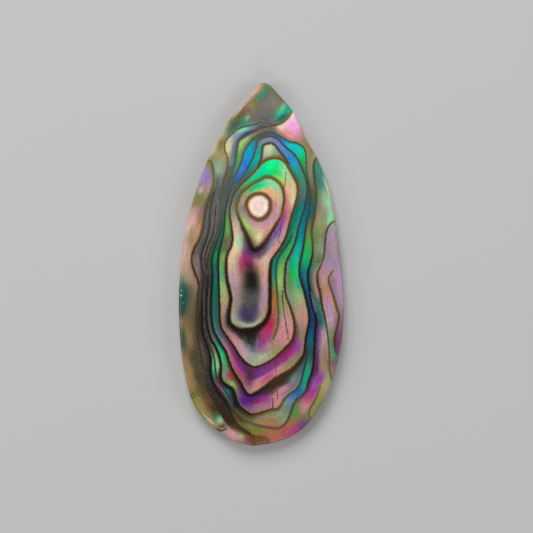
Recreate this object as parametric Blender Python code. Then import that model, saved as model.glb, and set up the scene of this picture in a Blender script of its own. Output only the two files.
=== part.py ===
"""Pear-shaped abalone cabochon: one slice of shell, ground flat behind and polished in front.

Metres, +Z up. The origin is the middle of the flat back, the point of the pear is towards +Y
and the polished face looks up.
"""

import math

import bmesh
import bpy
from mathutils import Vector

MM = 0.001

# Driving dimensions.
LENGTH = 50.0 * MM
WIDTH = 22.7 * MM
THICKNESS = 2.6 * MM

# The front is a low crown that rises from its rim to the full thickness.
CROWN_RISE = 0.45 * MM
# Round along the front's edge: how far it runs in from the outline, and how far it falls.
EDGE_RUN = 0.45 * MM
EDGE_FALL = 0.55 * MM
EDGE_STEPS = 5
# Small chamfer round the back, as a grinding wheel leaves it.
BACK_CHAMFER = 0.2 * MM

# The outline in millimetres, as its two flanks, each a smooth run between the blunt tip and the
# foot of the pear. The tip itself is a short straight cut between the ends of the flanks.
RIGHT_FLANK = [
    (1.3, 24.6), (2.6, 23.15), (4.45, 20.9), (6.0, 17.5), (7.85, 14.3), (9.3, 10.2),
    (10.2, 5.9), (10.8, 1.7), (11.25, -3.2), (11.35, -6.5), (11.05, -10.6), (10.35, -13.9),
    (9.3, -17.3), (7.75, -20.25), (5.45, -22.85), (2.45, -24.35), (-1.0, -25.0),
]
LEFT_FLANK = [
    (-1.0, -25.0), (-3.7, -24.4), (-5.9, -22.95), (-8.4, -20.7), (-9.75, -18.2),
    (-10.5, -15.1), (-11.1, -11.0), (-11.35, -5.4), (-11.15, -1.2), (-10.6, 3.6),
    (-9.5, 8.4), (-8.0, 12.8), (-6.5, 16.2), (-4.35, 19.9), (-1.8, 22.75), (-0.3, 24.6),
    (0.4, 25.0),
]
OUTLINE_POINTS = 132

# The crown's rings, as shares of the way from its middle to its rim.
CROWN_SHARES = (0.93, 0.82, 0.66, 0.48, 0.28, 0.12)
# Where the crown is highest, in millimetres, a little below the middle of the pear.
CROWN_TOP = (0.0, -4.0)

# Polished shell: a warm grey green, as seen from too far off for its bands.
SHELL_COLOUR = (0.24, 0.30, 0.25, 1.0)
SHELL_ROUGHNESS = 0.18


def clear_scene():
    """Empties the scene of whatever it opened with."""
    for obj in list(bpy.data.objects):
        bpy.data.objects.remove(obj, do_unlink=True)


def shell_material():
    """Polished nacre, in one colour."""
    material = bpy.data.materials.new("polished_shell")
    material.use_nodes = True
    shader = material.node_tree.nodes["Principled BSDF"]
    shader.inputs["Base Color"].default_value = SHELL_COLOUR
    shader.inputs["Roughness"].default_value = SHELL_ROUGHNESS
    shader.inputs["Metallic"].default_value = 0.0
    return material


def smooth_run(points, steps):
    """A Catmull-Rom curve through the points, with this many steps between neighbours."""
    ends = [points[0], *points, points[-1]]
    run = []
    for before, start, end, after in zip(ends, ends[1:], ends[2:], ends[3:]):
        for step in range(steps):
            t = step / steps
            run.append(
                0.5 * (2 * start + (end - before) * t
                       + (2 * before - 5 * start + 4 * end - after) * t**2
                       + (3 * start - before - 3 * end + after) * t**3)
            )
    return [*run, points[-1]]


def evenly_spaced(path, count):
    """This many points at equal steps along a closed path, starting at its first point."""
    closed = [*path, path[0]]
    lengths = [(end - start).length for start, end in zip(closed, closed[1:])]
    spacing = sum(lengths) / count
    found, passed, piece = [], 0.0, 0
    for index in range(count):
        wanted = index * spacing
        while passed + lengths[piece] < wanted:
            passed += lengths[piece]
            piece += 1
        share = (wanted - passed) / lengths[piece]
        found.append(closed[piece].lerp(closed[piece + 1], share))
    return found


def outline():
    """The pear's outline in metres, clockwise from the tip, sized to the driving dimensions."""
    curve_steps = 12
    right = smooth_run([Vector(p) * MM for p in RIGHT_FLANK], curve_steps)
    left = smooth_run([Vector(p) * MM for p in LEFT_FLANK], curve_steps)
    path = evenly_spaced(right[:-1] + left, OUTLINE_POINTS)
    low = Vector((min(p.x for p in path), min(p.y for p in path)))
    high = Vector((max(p.x for p in path), max(p.y for p in path)))
    middle = (low + high) / 2
    stretch = Vector((WIDTH / (high.x - low.x), LENGTH / (high.y - low.y)))
    return [Vector(((p.x - middle.x) * stretch.x, (p.y - middle.y) * stretch.y)) for p in path]


def moved_in(path, distance):
    """The outline with each point moved this far towards the crown's highest place."""
    top = Vector(CROWN_TOP) * MM
    return [p + (top - p).normalized() * distance for p in path]


def ring(mesh, path, height):
    """Adds a closed ring of vertices at one height."""
    return [mesh.verts.new((p.x, p.y, height)) for p in path]


def crown_height(share):
    """The front's height at this share of the way from its middle to its rim."""
    return THICKNESS - CROWN_RISE * share**2


def shell_rings(mesh, path):
    """All the rings, from the back, up the wall and over the edge, to the middle of the crown."""
    rim_height = crown_height(1.0)
    rings = [
        ring(mesh, moved_in(path, BACK_CHAMFER), 0.0),
        ring(mesh, path, BACK_CHAMFER),
    ]
    for step in range(EDGE_STEPS + 1):
        angle = math.pi / 2 * step / EDGE_STEPS
        run = EDGE_RUN * (1 - math.cos(angle))
        height = rim_height - EDGE_FALL * (1 - math.sin(angle))
        rings.append(ring(mesh, moved_in(path, run), height))
    top = Vector(CROWN_TOP) * MM
    rim = moved_in(path, EDGE_RUN)
    for share in CROWN_SHARES:
        rings.append(ring(mesh, [top.lerp(p, share) for p in rim], crown_height(share)))
    return rings


def shell_slice():
    """The slice: a flat back, a wall, a rounded edge and a low crown."""
    mesh = bmesh.new()
    rings = shell_rings(mesh, outline())
    for lower, upper in zip(rings, rings[1:]):
        count = len(lower)
        for i in range(count):
            j = (i + 1) % count
            mesh.faces.new((lower[i], lower[j], upper[j], upper[i]))
    peak = mesh.verts.new((CROWN_TOP[0] * MM, CROWN_TOP[1] * MM, THICKNESS))
    last = rings[-1]
    for i, vertex in enumerate(last):
        mesh.faces.new((vertex, last[(i + 1) % len(last)], peak))
    mesh.faces.new(rings[0])
    bmesh.ops.recalc_face_normals(mesh, faces=mesh.faces)
    data = bpy.data.meshes.new("shell_slice")
    mesh.to_mesh(data)
    mesh.free()
    data.shade_smooth()
    data.set_sharp_from_angle(angle=math.radians(35))
    data.materials.append(shell_material())
    return bpy.data.objects.new("shell_slice", data)


def main():
    clear_scene()
    bpy.context.scene.collection.objects.link(shell_slice())


main()
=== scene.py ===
"""Dresses the slice of abalone shell: its nested growth lines, its bands of nacre and its polish.

Sizes and colours are under Shell slice in the 3D view's sidebar. Places on the polished face are
written as pixels of the photograph, x to the right and y down. in_pixels() turns the mesh's own
places into such pixels, so that the pattern can be looked up at each of them.
"""

import math

import bpy
import numpy as np
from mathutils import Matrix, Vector


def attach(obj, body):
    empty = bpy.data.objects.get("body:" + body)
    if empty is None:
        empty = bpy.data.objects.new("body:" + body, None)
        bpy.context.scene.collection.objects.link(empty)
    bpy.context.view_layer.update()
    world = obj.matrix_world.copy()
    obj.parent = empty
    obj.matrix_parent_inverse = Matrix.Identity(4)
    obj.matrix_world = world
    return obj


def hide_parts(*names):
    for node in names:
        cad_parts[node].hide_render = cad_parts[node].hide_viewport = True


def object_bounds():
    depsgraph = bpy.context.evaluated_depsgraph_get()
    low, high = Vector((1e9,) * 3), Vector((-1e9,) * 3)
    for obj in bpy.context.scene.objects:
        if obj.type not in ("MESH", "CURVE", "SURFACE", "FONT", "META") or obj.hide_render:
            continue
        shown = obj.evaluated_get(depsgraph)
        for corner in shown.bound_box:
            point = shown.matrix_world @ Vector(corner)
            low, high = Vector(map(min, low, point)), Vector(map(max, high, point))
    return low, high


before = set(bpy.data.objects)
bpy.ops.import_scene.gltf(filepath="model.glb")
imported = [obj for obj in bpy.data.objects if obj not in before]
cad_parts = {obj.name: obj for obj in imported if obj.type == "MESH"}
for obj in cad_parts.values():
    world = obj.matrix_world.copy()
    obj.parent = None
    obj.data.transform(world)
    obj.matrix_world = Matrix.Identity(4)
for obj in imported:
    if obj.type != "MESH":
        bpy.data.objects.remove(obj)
CAD_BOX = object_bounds()
CAD_LOW, CAD_HIGH = (Vector(corner) for corner in CAD_BOX)

bl_info = {
    "name": "Abalone shell slice",
    "version": (1, 0, 0),
    "blender": (4, 5, 0),
    "location": "3D View > Sidebar > Shell slice",
    "description": "Models a polished slice of abalone shell with its growth lines, and its studio",
    "category": "Add Mesh",
}

MM = 0.001

# How the photograph's pixels lie on the slice: its width and height in pixels, a pixel's size on
# the slice and the pixel at the slice's middle.
PICTURE_PX = 533
PIXEL = 0.1369 * MM
MIDDLE_PX = (261.2, 264.2)

# The outline's two flanks in millimetres, as in the solid.
RIGHT_FLANK = [
    (1.3, 24.6), (2.6, 23.15), (4.45, 20.9), (6.0, 17.5), (7.85, 14.3), (9.3, 10.2),
    (10.2, 5.9), (10.8, 1.7), (11.25, -3.2), (11.35, -6.5), (11.05, -10.6), (10.35, -13.9),
    (9.3, -17.3), (7.75, -20.25), (5.45, -22.85), (2.45, -24.35), (-1.0, -25.0),
]
LEFT_FLANK = [
    (-1.0, -25.0), (-3.7, -24.4), (-5.9, -22.95), (-8.4, -20.7), (-9.75, -18.2),
    (-10.5, -15.1), (-11.1, -11.0), (-11.35, -5.4), (-11.15, -1.2), (-10.6, 3.6),
    (-9.5, 8.4), (-8.0, 12.8), (-6.5, 16.2), (-4.35, 19.9), (-1.8, 22.75), (-0.3, 24.6),
    (0.4, 25.0),
]
# Where the crown is highest, in millimetres.
CROWN_TOP = (0.0, -4.0)

# The studio, in metres: the floor's side, and each light's name, place and side. All the lights
# point at the slice.
FLOOR_SIZE = 2.0
LIGHTS = [
    ("key", (-0.12, 0.42, 0.42), 0.35),
    ("left", (-0.5, -0.05, 0.35), 0.3),
    ("right", (0.5, -0.1, 0.35), 0.3),
    ("foot", (0.05, -0.5, 0.4), 0.3),
]
# The camera's sensor width in millimetres, and how near to it things begin to show, in metres.
SENSOR = 36.0
CLIP_START = 0.01

# The growth lines, each along the points where it turns. A loop closes on its first point.
EYE = [
    (258.5, 193.5), (262, 193.5), (266.5, 196), (270, 200), (270.5, 205), (270, 210),
    (267.5, 214.5), (264, 218), (259, 219.5), (254, 218), (250, 214.5), (247.5, 209.5),
    (246.5, 204.5), (248, 199.5), (251.5, 196), (255, 194),
]
INNER_HEART = [
    (269, 177.3), (273, 178.4), (276.6, 181), (280, 184), (282, 188), (283.6, 194), (284, 200.5),
    (282.6, 208.5), (280.8, 216), (276, 225), (270.8, 234), (266, 241), (261.3, 247), (257, 249.5),
    (253, 249), (250.3, 245), (246.4, 234.5), (243.6, 229.5), (241, 224), (237.3, 213.7),
    (236.8, 208.4), (237.3, 203.7), (239.2, 199), (240.8, 194.8), (243.4, 191.6), (250.3, 185.8),
    (255, 182.7), (260.3, 180), (265, 177.6),
]
HEART = [
    (259.8, 165), (264, 161.6), (268, 159.3), (273, 158.3), (278, 158.5), (282, 160), (285.6, 163),
    (288.2, 167.4), (290.8, 172), (294, 178), (296.8, 184), (297.4, 190), (297.3, 195),
    (296.2, 200.5), (294.7, 206), (293, 211), (291.5, 215), (289, 225), (286.5, 235), (283, 243),
    (278.5, 250), (273.5, 257), (271.5, 261), (270.4, 266), (270, 275), (270, 290), (269.9, 303),
    (269.4, 311), (267, 318), (262.5, 324), (255.5, 328.3), (248, 329.8), (241.5, 330),
    (235.5, 328), (230.4, 324), (229, 320), (229, 314), (230.5, 303), (230.9, 298), (229.4, 290),
    (227, 280), (226.2, 270), (226.2, 262), (226.8, 256.6), (228.3, 252.4), (231, 247),
    (232.3, 241.6), (232.6, 237.4), (231.5, 227), (230.2, 218), (229.9, 211), (231, 204),
    (233.4, 196), (238.7, 187.4), (246, 180), (253.4, 172.7),
]
SPOT_ARCH = [
    (258, 167), (260.3, 161), (261.8, 155), (262.3, 149), (264, 144.8), (270, 142.9), (273, 143.7),
    (276, 146.3), (281, 153), (284.5, 156.5), (288.2, 163),
]
FAN = [
    (261, 139), (267, 136.6), (272, 136.7), (277, 138.5), (280, 141.3), (286.3, 147.5),
    (293.2, 153.3), (296.3, 156.8), (299.2, 161.6), (301.8, 168), (305, 176), (307, 184),
    (307.2, 191), (306.2, 198), (304, 209), (300.4, 219.5), (297.6, 229.5), (295.4, 240.6),
    (293, 247), (289, 256.3), (286.7, 261), (285.6, 267), (285, 275), (284.7, 282), (285, 290),
    (286.4, 297.5), (289, 304), (291.4, 311), (293.2, 318), (294.5, 325), (294.5, 331), (293, 338),
    (290, 343.2), (284, 349.4), (279.4, 354), (273.5, 358.8), (268, 362.3), (261, 365.6),
    (254.5, 367.2), (249, 365), (243, 360), (238, 353.5), (233.4, 346), (228.3, 338.4),
    (222.6, 330), (220.3, 324), (219.7, 312), (219.1, 292), (218.6, 276), (218.3, 262), (219, 253),
    (221.5, 244), (223.7, 234), (224.5, 222), (225.8, 208), (228.3, 197), (231.3, 187.4),
    (235, 183.6), (239.5, 180.2), (243, 177), (246.6, 171), (249.8, 165), (253, 158.5), (255, 152),
    (256.6, 147), (258, 142),
]
FAN_SEAM = [
    (291.5, 236), (289.5, 241), (286.5, 246), (283, 250.6), (279.5, 255.5), (277.3, 260.5),
    (276.2, 266), (275.8, 273.5), (276.3, 282), (277, 293), (277.7, 303), (278.3, 311),
    (278.2, 319), (277.4, 326), (275.5, 333), (273.2, 339),
]
BAND = [
    (231, 181.5), (235.6, 175), (238.4, 170), (241, 163), (243.4, 154), (246, 148), (250, 142.3),
    (254.5, 137.3), (261, 133.3), (268, 131.5), (273.2, 132), (280, 136), (287.4, 140.3),
    (292, 142), (297, 142.8), (302.7, 146.4), (305, 150), (306.2, 155), (306.2, 163), (307, 173),
    (308.8, 184), (310, 193), (309.7, 204), (308, 215), (306, 226), (304.4, 237.4), (303, 248),
    (300.7, 258.4), (299.3, 268), (299.3, 275), (301.5, 283.4), (304.7, 293.4), (307, 304),
    (309, 314), (309.1, 322), (307.2, 331), (305.7, 338), (305.2, 346), (303.8, 354.5),
    (300.5, 360), (295.7, 366.3), (290.5, 371), (283, 375.4), (275, 380), (269, 384.8),
    (262, 389.8), (256, 393.6), (250.5, 395.6), (246.6, 393.8), (243, 388), (240, 381.7),
    (236, 375.5), (232.2, 369), (229.8, 363), (227.8, 357), (225.5, 351), (221.5, 344.8),
    (217.4, 338), (214.2, 331.5), (212.3, 324), (211.2, 310), (211.4, 297), (212, 284),
    (212.6, 273.4), (211.9, 264), (212.6, 256), (215, 247), (218, 237), (220.3, 227), (221.8, 217),
    (223, 208), (225, 198), (228, 188),
]
COLLAR = [
    (306, 343), (306.9, 351), (306, 360), (303.5, 371), (300.6, 382), (296.5, 389), (290, 393.6),
    (285, 398), (280.4, 405.6), (277, 408.9), (270, 409.8), (262, 412.5), (252.5, 414.7),
    (246.5, 412), (240, 406.4), (236.8, 401.5), (234.5, 393), (232, 388.5), (226, 385),
    (221.7, 380.5), (220.8, 374), (221.2, 365), (219, 355), (215.2, 346), (211.5, 340),
    (208.8, 332), (206.8, 322), (206.2, 307), (207, 291), (208, 279), (207.2, 266), (208.5, 254),
    (212.6, 244), (216, 236), (218, 226), (219.2, 214), (220.6, 203), (223, 193), (226.5, 183.5),
    (230.3, 176), (233.7, 168), (235.6, 160), (236.6, 152), (238, 144), (240.6, 139.2),
    (246.6, 135.6), (254, 132), (262, 128), (269, 126.2), (277, 124.6), (284.2, 121.2),
    (288.7, 117.4), (292.9, 111.2),
]
COLLAR_TOP = [
    (219, 200), (221, 191), (223, 181), (225.6, 172), (227.4, 163.5), (227.3, 157.4),
    (225.6, 152.5), (224.5, 148), (225, 142.5), (227.5, 138), (232.4, 133), (238.2, 128.6),
    (246, 126), (255.6, 124), (262, 121),
]
RIGHT_COLLAR = [
    (315.8, 158.4), (314, 161.6), (313.4, 168), (314.1, 177), (316, 189), (316.2, 198),
    (315.2, 211), (313.3, 221.6), (311.5, 231), (312.3, 243), (312.4, 254), (310.5, 263),
    (308, 272), (308.1, 281), (310, 292), (311.5, 302.4), (314.7, 313), (316.3, 323),
    (315.2, 331.6), (314.6, 343), (313.9, 356), (313, 368.4), (310.4, 376.3), (308, 384),
    (305.7, 391.3), (301, 396.4), (297.3, 398.7), (293.5, 404.5), (291, 411), (287.8, 419.5),
    (284, 424.5), (278, 428), (270, 427.3), (260, 425.6), (251, 422.7), (245.5, 420),
    (241.3, 416.6), (236.5, 411),
]
LEFT_COLLAR = [
    (214.5, 193), (212.3, 203), (210.7, 215), (210, 227), (207.8, 237.4), (204.5, 246.5),
    (201.7, 255), (202, 265.6), (203.8, 275), (203.6, 287), (202.3, 303), (201.7, 317),
    (202.5, 330), (205, 340), (208.7, 349.5), (210.7, 359), (210.5, 371), (212.2, 381), (217, 391),
    (224, 400), (229, 408.7), (233, 417.7), (238, 425.2), (244, 430), (249.8, 433.6), (254, 438),
]
LEFT_SEAM = [
    (216.8, 200), (215.5, 212), (214.6, 224), (212.5, 236), (207.5, 246.5), (205, 256), (205, 265),
    (206, 275), (205.6, 288), (204.6, 303), (204, 318), (205, 331), (208.2, 342), (212, 350),
    (214.4, 360), (215.6, 372), (217.3, 380.5), (222, 388), (228, 395), (232, 404),
]
LEFT_MARGIN = [
    (207.5, 161.5), (209, 160), (211, 161), (212.5, 166), (213.7, 174), (213.9, 182), (212, 190),
    (208.6, 199), (206.2, 208.4), (204.4, 219), (202.2, 231), (199, 240.5), (195, 247),
    (192.3, 255), (192.2, 264), (194.7, 272.4), (197.6, 279), (198.8, 286), (197.9, 295),
    (196.8, 310), (196.4, 325), (197.5, 338), (200, 350), (202.4, 362), (204, 374),
]
RIGHT_LOBE = [
    (335.6, 220.6), (332, 222.5), (328.5, 226.5), (326.4, 233), (325, 245), (323.8, 257),
    (320.5, 266), (317.3, 274.5), (317.8, 283), (320.3, 293), (322, 304.5), (325, 318),
    (327.2, 331), (329, 345), (329.8, 358), (330, 370), (332.3, 382),
]
SIDE_LOBE = [
    (334.2, 270.8), (331, 273.6), (328.8, 278), (329.4, 284), (333, 295), (337, 308.5),
    (339, 315.8), (337.5, 325.5), (335, 336.5), (334.5, 344), (335.6, 351), (338.6, 358),
]
LOW_LOBE = [
    (320.5, 384), (318, 393), (314.5, 401), (311, 407), (309, 413), (310, 418), (313.5, 420.5),
]
FOOT_SPOT = [
    (250.5, 436.5), (257, 437), (263.4, 437.7), (267, 439.6), (268.4, 442.2), (266, 444.4),
    (261, 445.2), (255, 444.5), (251, 441.5),
]

# Where one line passes under another's end: the number of its point there.
RIGHT_COLLAR_FOOT = 23
LEFT_COLLAR_FOOT = 20
# Points where a band's area closes along no growth line.
SPOT_FOOT = [(283.5, 160), (278, 158.5), (273, 158.3), (268, 159.3)]
COLLAR_CROSSING = [(277, 124), (292.9, 111.2)]
LEFT_SHOULDER = [(218, 190)]
MARGIN_FOOT = [
    (203.5, 378), (207, 389), (211, 398), (216, 407), (221, 416), (226, 425), (228, 431),
    (226, 437),
]
# Points beyond the outline, round which the outer bands' areas close.
OUTSIDE_SHOULDER = [(298, 106), (322, 150)]
OUTSIDE_SIDE_LOBE = [(400, 358), (400, 270)]
OUTSIDE_RIGHT_LOBE = [(336, 400), (400, 400), (400, 215)]
OUTSIDE_LOW_LOBE = [(330, 425), (345, 384)]
OUTSIDE_RIGHT = [(254, 470), (400, 470), (400, 140)]
OUTSIDE_CAP = [(226, 470), (400, 470), (400, 40), (150, 40)]
OUTSIDE_ALL = [(100, 40), (100, 500), (400, 500), (400, 40)]

# What each growth line looks like: its points, whether it closes, the width of its dark core, the
# core's colours, and the seams beside it, on the left of the way that its points go and on the
# right. A seam has its colours and how far it spreads. Widths are in pixels. Each list of widths
# or colours is at equal steps along the line.
LINES = {
    "eye": (
        EYE, True, "1.9 2.0 2.3 2.5 2.3 2.0", "bronze brown brown brown brown bronze",
        ("bronze brown brown brown mauve bronze", "1.6 1.6 2 2.4 2.2 1.6"),
        ("bronze brown bronze honey", "2.2")),
    "inner heart": (
        INNER_HEART, True, "2.0 1.8 1.8 2.0 2.4 3.2 4.6 3.2 2.2 1.7 1.6 1.8",
        "moss moss bark bronze umber umber black umber bark moss moss moss",
        ("moss moss bronze brown mauve aubergine aubergine aubergine sage moss moss moss",
         "2 2 1.5 1.5 2 4 6 3 1.5 1.5 2 2"),
        ("honey honey honey honey bronze bronze bark bronze bronze honey honey honey",
         "1.6 1.6 1.6 1.8 2 2.2 2.8 2.2 2 1.6 1.6 1.6")),
    "heart": (
        HEART, True, "2.0 1.8 1.6 1.6 1.6 2.0 3.0 3.0 3.6 3.4 2.8 2.5 2.0 1.8 1.4 1.5",
        "bronze bronze bronze bark umber umber black black black black black black umber umber "
        "bark bark",
        ("olive bronze bronze bark bark bark umber umber black black umber bark bark moss ash "
         "walnut", "2.6 2.8 2.4 1.6 1.2 1.2 1.5 1 3.2 4 2 1.6 1.5 1.5 1.5 2"),
        ("honey honey honey honey honey honey bronze bronze bronze bronze bronze bronze honey "
         "honey honey honey", "1.2 1.2 1.2 1.2 1.2 1.4 1.8 1.8 1.8 1.8 1.8 1.6 1.4 1.2 1 1")),
    "spot arch": (
        SPOT_ARCH, False, "1.4", "bark", ("bottle", "1"), ("bark walnut bark", "1.3")),
    "fan": (
        FAN, True, "1.2 1.1 1.1 1.2 1.3 1.6 2.6 2.0 2.0 2.6 2.0 2.2 2.0 2.0 1.9 1.9 1.6 1.2 1.1 1.1",
        "ash charcoal bark bottle charcoal charcoal umber umber umber umber umber black black "
        "black black black charcoal charcoal ash bark",
        ("ash ash bark bottle bottle bottle smoke smoke brown wine plum aubergine aubergine bottle "
         "bottle bottle bottle ash ash lagoon",
         "1.5 1 1 1 1.2 1.2 3.5 3 2 5 6 6 3.5 2 2 1.6 1.5 1.5 1.5 1"),
        ("lichen slate bark forest sea leaf lichen khaki honey honey honey honey honey khaki leaf "
         "leaf fern ash slate sea", "1 0.8 0.8 0.8 0.8 0.8 1.4 1.2 1.4 1.6 1.4 1.4 1.2 1 1 1 1")),
    "fan seam": (
        FAN_SEAM, False, "1.0 1.1 1.2 1.1 1.0 0.9", "bottle bottle bottle bark brown brown",
        ("bottle", "0.8"), ("bottle moss", "0.8")),
    "band": (
        BAND, True,
        "1.1 1.1 1.3 1.4 1.3 1.2 1.2 1.5 1.8 1.9 2.2 2.3 2.3 3.4 5.0 3.4 2.6 2.2 2.2 2.1 2.0 1.8 "
        "1.4 1.1",
        "ash bark ash ash bottle bottle bottle bottle charcoal umber black black black umber "
        "umber black black black black black black charcoal charcoal ash",
        ("ash walnut grey grey tan sage bottle bottle bark navy navy navy navy umber umber "
         "indigo umber charcoal charcoal charcoal charcoal bottle ash ash",
         "2 1.5 4 4 1.5 1 1 1 1.2 1.5 1.5 1.5 2 3 4.5 4 3 2 2 2 1.6 1.5 1.5 1.5"),
        ("slate sea lagoon lagoon sea leaf forest petrol teal leaf honey honey honey bronze rust "
         "honey honey honey sea pine pine pine pine slate",
         "0.8 0.8 1 1 0.8 0.8 0.8 0.8 1 1 1.4 1.4 1.4 2.2 2.6 1.8 1.5 1.2 1.2 1 1 1")),
    "collar": (
        COLLAR, False,
        "1.7 1.6 1.5 1.7 2.0 3.2 3.0 2.4 2.4 2.2 2.0 1.8 1.5 1.3 1.2 1.2 1.3 1.4 1.3 1.3",
        "charcoal charcoal bottle brown umber black black black black black black charcoal "
        "charcoal ash ash ash bark ash bark moss",
        ("bottle bottle blue brown brown black black charcoal charcoal charcoal charcoal "
         "charcoal ash ash ash slate slate night grey olive",
         "1 1 1 2 3 5 2.5 1.5 2 2 2 2 1.5 1.5 1.5 2 2.5 2.5 2 2"),
        ("slate slate sage tan rust honey honey straw sage bottle bottle ash ash ash ash slate "
         "lichen khaki grey cream", "1 1 1 1.4 1.6 1.6 1.4 1 1 1 1 1 1 1 1 1 1 1 1.4 1.4")),
    "collar top": (
        COLLAR_TOP, False, "1.1 1.1 1.1 1.1 1.1 1.1", "ash bark moss moss bark bark",
        ("ash sage tan olive sea grey", "1.2 1.2 1.4 1.4 1.2 1"),
        ("ash walnut khaki khaki sea grey", "1.2")),
    "right collar": (
        RIGHT_COLLAR, False,
        "1.4 1.3 1.3 1.5 1.6 2.0 2.2 2.3 2.4 2.4 2.2 2.0 1.7 1.4 1.3 1.4",
        "bottle bark bark bark bark black black black black black black bark bark brown brown "
        "bark",
        ("bottle bark forest moss moss bottle bottle night aubergine aubergine aubergine plum "
         "moss brown brown bark", "1 1 1 1.2 1.2 1.5 2 1.5 2.5 4 4 2 1.5 2 2 1.5"),
        ("lichen walnut forest moss leaf teal navy navy navy petrol sea teal sage tan tan moss",
         "1")),
    "left collar": (
        LEFT_COLLAR, False, "1.4 1.4 1.5 1.8 2.0 2.2 2.3 2.4 2.6 2.6 2.0 1.8",
        "ash ash charcoal charcoal charcoal black black black black black umber umber",
        ("ash ash ash ash ash bark bark forest charcoal charcoal moss moss", "1.2"),
        ("charcoal", "2 2 2 2 2.5 2.5 3 3 4 5 4 2")),
    "left seam": (
        LEFT_SEAM, False, "1 1.2 1.4 1.4 1.4 1", "charcoal", ("smoke ash grey ash ash", "0.7"),
        ("ash", "0.8")),
    "left margin": (
        LEFT_MARGIN, False, "1.8 1.6 1.7 1.8 1.9 1.9 1.7 1.5 1.3 1.1",
        "moss moss bark bark umber umber umber umber charcoal charcoal",
        ("khaki sage ash ash grey ash ash bark bark bark", "1.2"),
        ("olive olive brown brown walnut brown walnut brown bark bark", "2 2 1.5 1.5 2")),
    "right lobe": (
        RIGHT_LOBE, False, "1.4 1.5 1.6 2.2 1.8 1.5 1.4 1.3",
        "bark bark brown umber umber bark brown brown",
        ("khaki mauve mauve olive tan khaki khaki clay", "1.2 1.2 1.2 2 1.5 1.2 1.2 1"),
        ("sage moss sage bottle ash sea moss tan", "1")),
    "side lobe": (
        SIDE_LOBE, False, "1.4 1.8 2.0 2.0 2.2 1.5", "brown bronze bronze bark umber brown",
        ("heather brown walnut walnut wine", "1.2"), ("khaki khaki tan grey sea", "1.8")),
    "low lobe": (
        LOW_LOBE, False, "1.0 1.3 1.4 1.2", "olive bronze brown brown", ("olive tan", "1.2"),
        ("khaki tan", "1.2")),
    "foot spot": (
        FOOT_SPOT, True, "0.7", "umber bark bark", ("brown", "1.4"), ("bronze brown", "2.5")),
}

# The nacre's colours.
NACRE = {
    "black": "#120c0a", "charcoal": "#322c28", "dusk": "#464a4c", "ash": "#56544e",
    "grey": "#74706a", "smoke": "#8c8684", "umber": "#3c2818", "bark": "#4c4434",
    "brown": "#6a4c34", "bronze": "#6c4c1e", "honey": "#a4844c", "walnut": "#6c5c44",
    "tan": "#9c8058", "sand": "#b09c78", "khaki": "#988c5c", "olive": "#807836", "moss": "#5c6030",
    "lichen": "#788458", "straw": "#d2c498", "cream": "#ece0ac", "bottle": "#2a4838",
    "pine": "#1c6850", "forest": "#445844", "fern": "#4c8c4c", "leaf": "#68a858",
    "grass": "#38b860", "spring": "#20e070", "neon": "#00ff98", "lime": "#b8e078",
    "celery": "#a8cc78", "mint": "#94e4a8", "sage": "#84987c", "frost": "#b4c8ac",
    "jade": "#10d898", "emerald": "#10a474", "sea": "#3c9880", "teal": "#108488",
    "petrol": "#20647c", "lagoon": "#205858", "turquoise": "#10b8a8", "aqua": "#10d0c8",
    "sky": "#3a9cd8", "azure": "#5088dc", "periwinkle": "#6c80e0", "blue": "#3c64a8",
    "navy": "#203860", "slate": "#586c74", "steel": "#80949c", "night": "#3c3454",
    "indigo": "#502488", "violet": "#6c3c88", "plum": "#743468", "aubergine": "#50284c",
    "orchid": "#9848a0", "lavender": "#8c80b8", "lilac": "#b090b4", "mauve": "#94707c",
    "heather": "#c09aa8", "magenta": "#b03c8c", "cerise": "#b04c78", "crimson": "#bc3054",
    "wine": "#7c2444", "brick": "#8c4838", "clay": "#b06c5c", "rust": "#a8703c", "coral": "#dc7c80",
    "rose": "#cc8c90", "blossom": "#e09c98", "salmon": "#f4a4a4", "peach": "#f0b48c",
    "blush": "#ffc8cc", "candy": "#fbb0dc", "petal": "#ffa6e8", "pearl": "#ffe8dc",
    "shell": "#dcbcb4",
}

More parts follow.
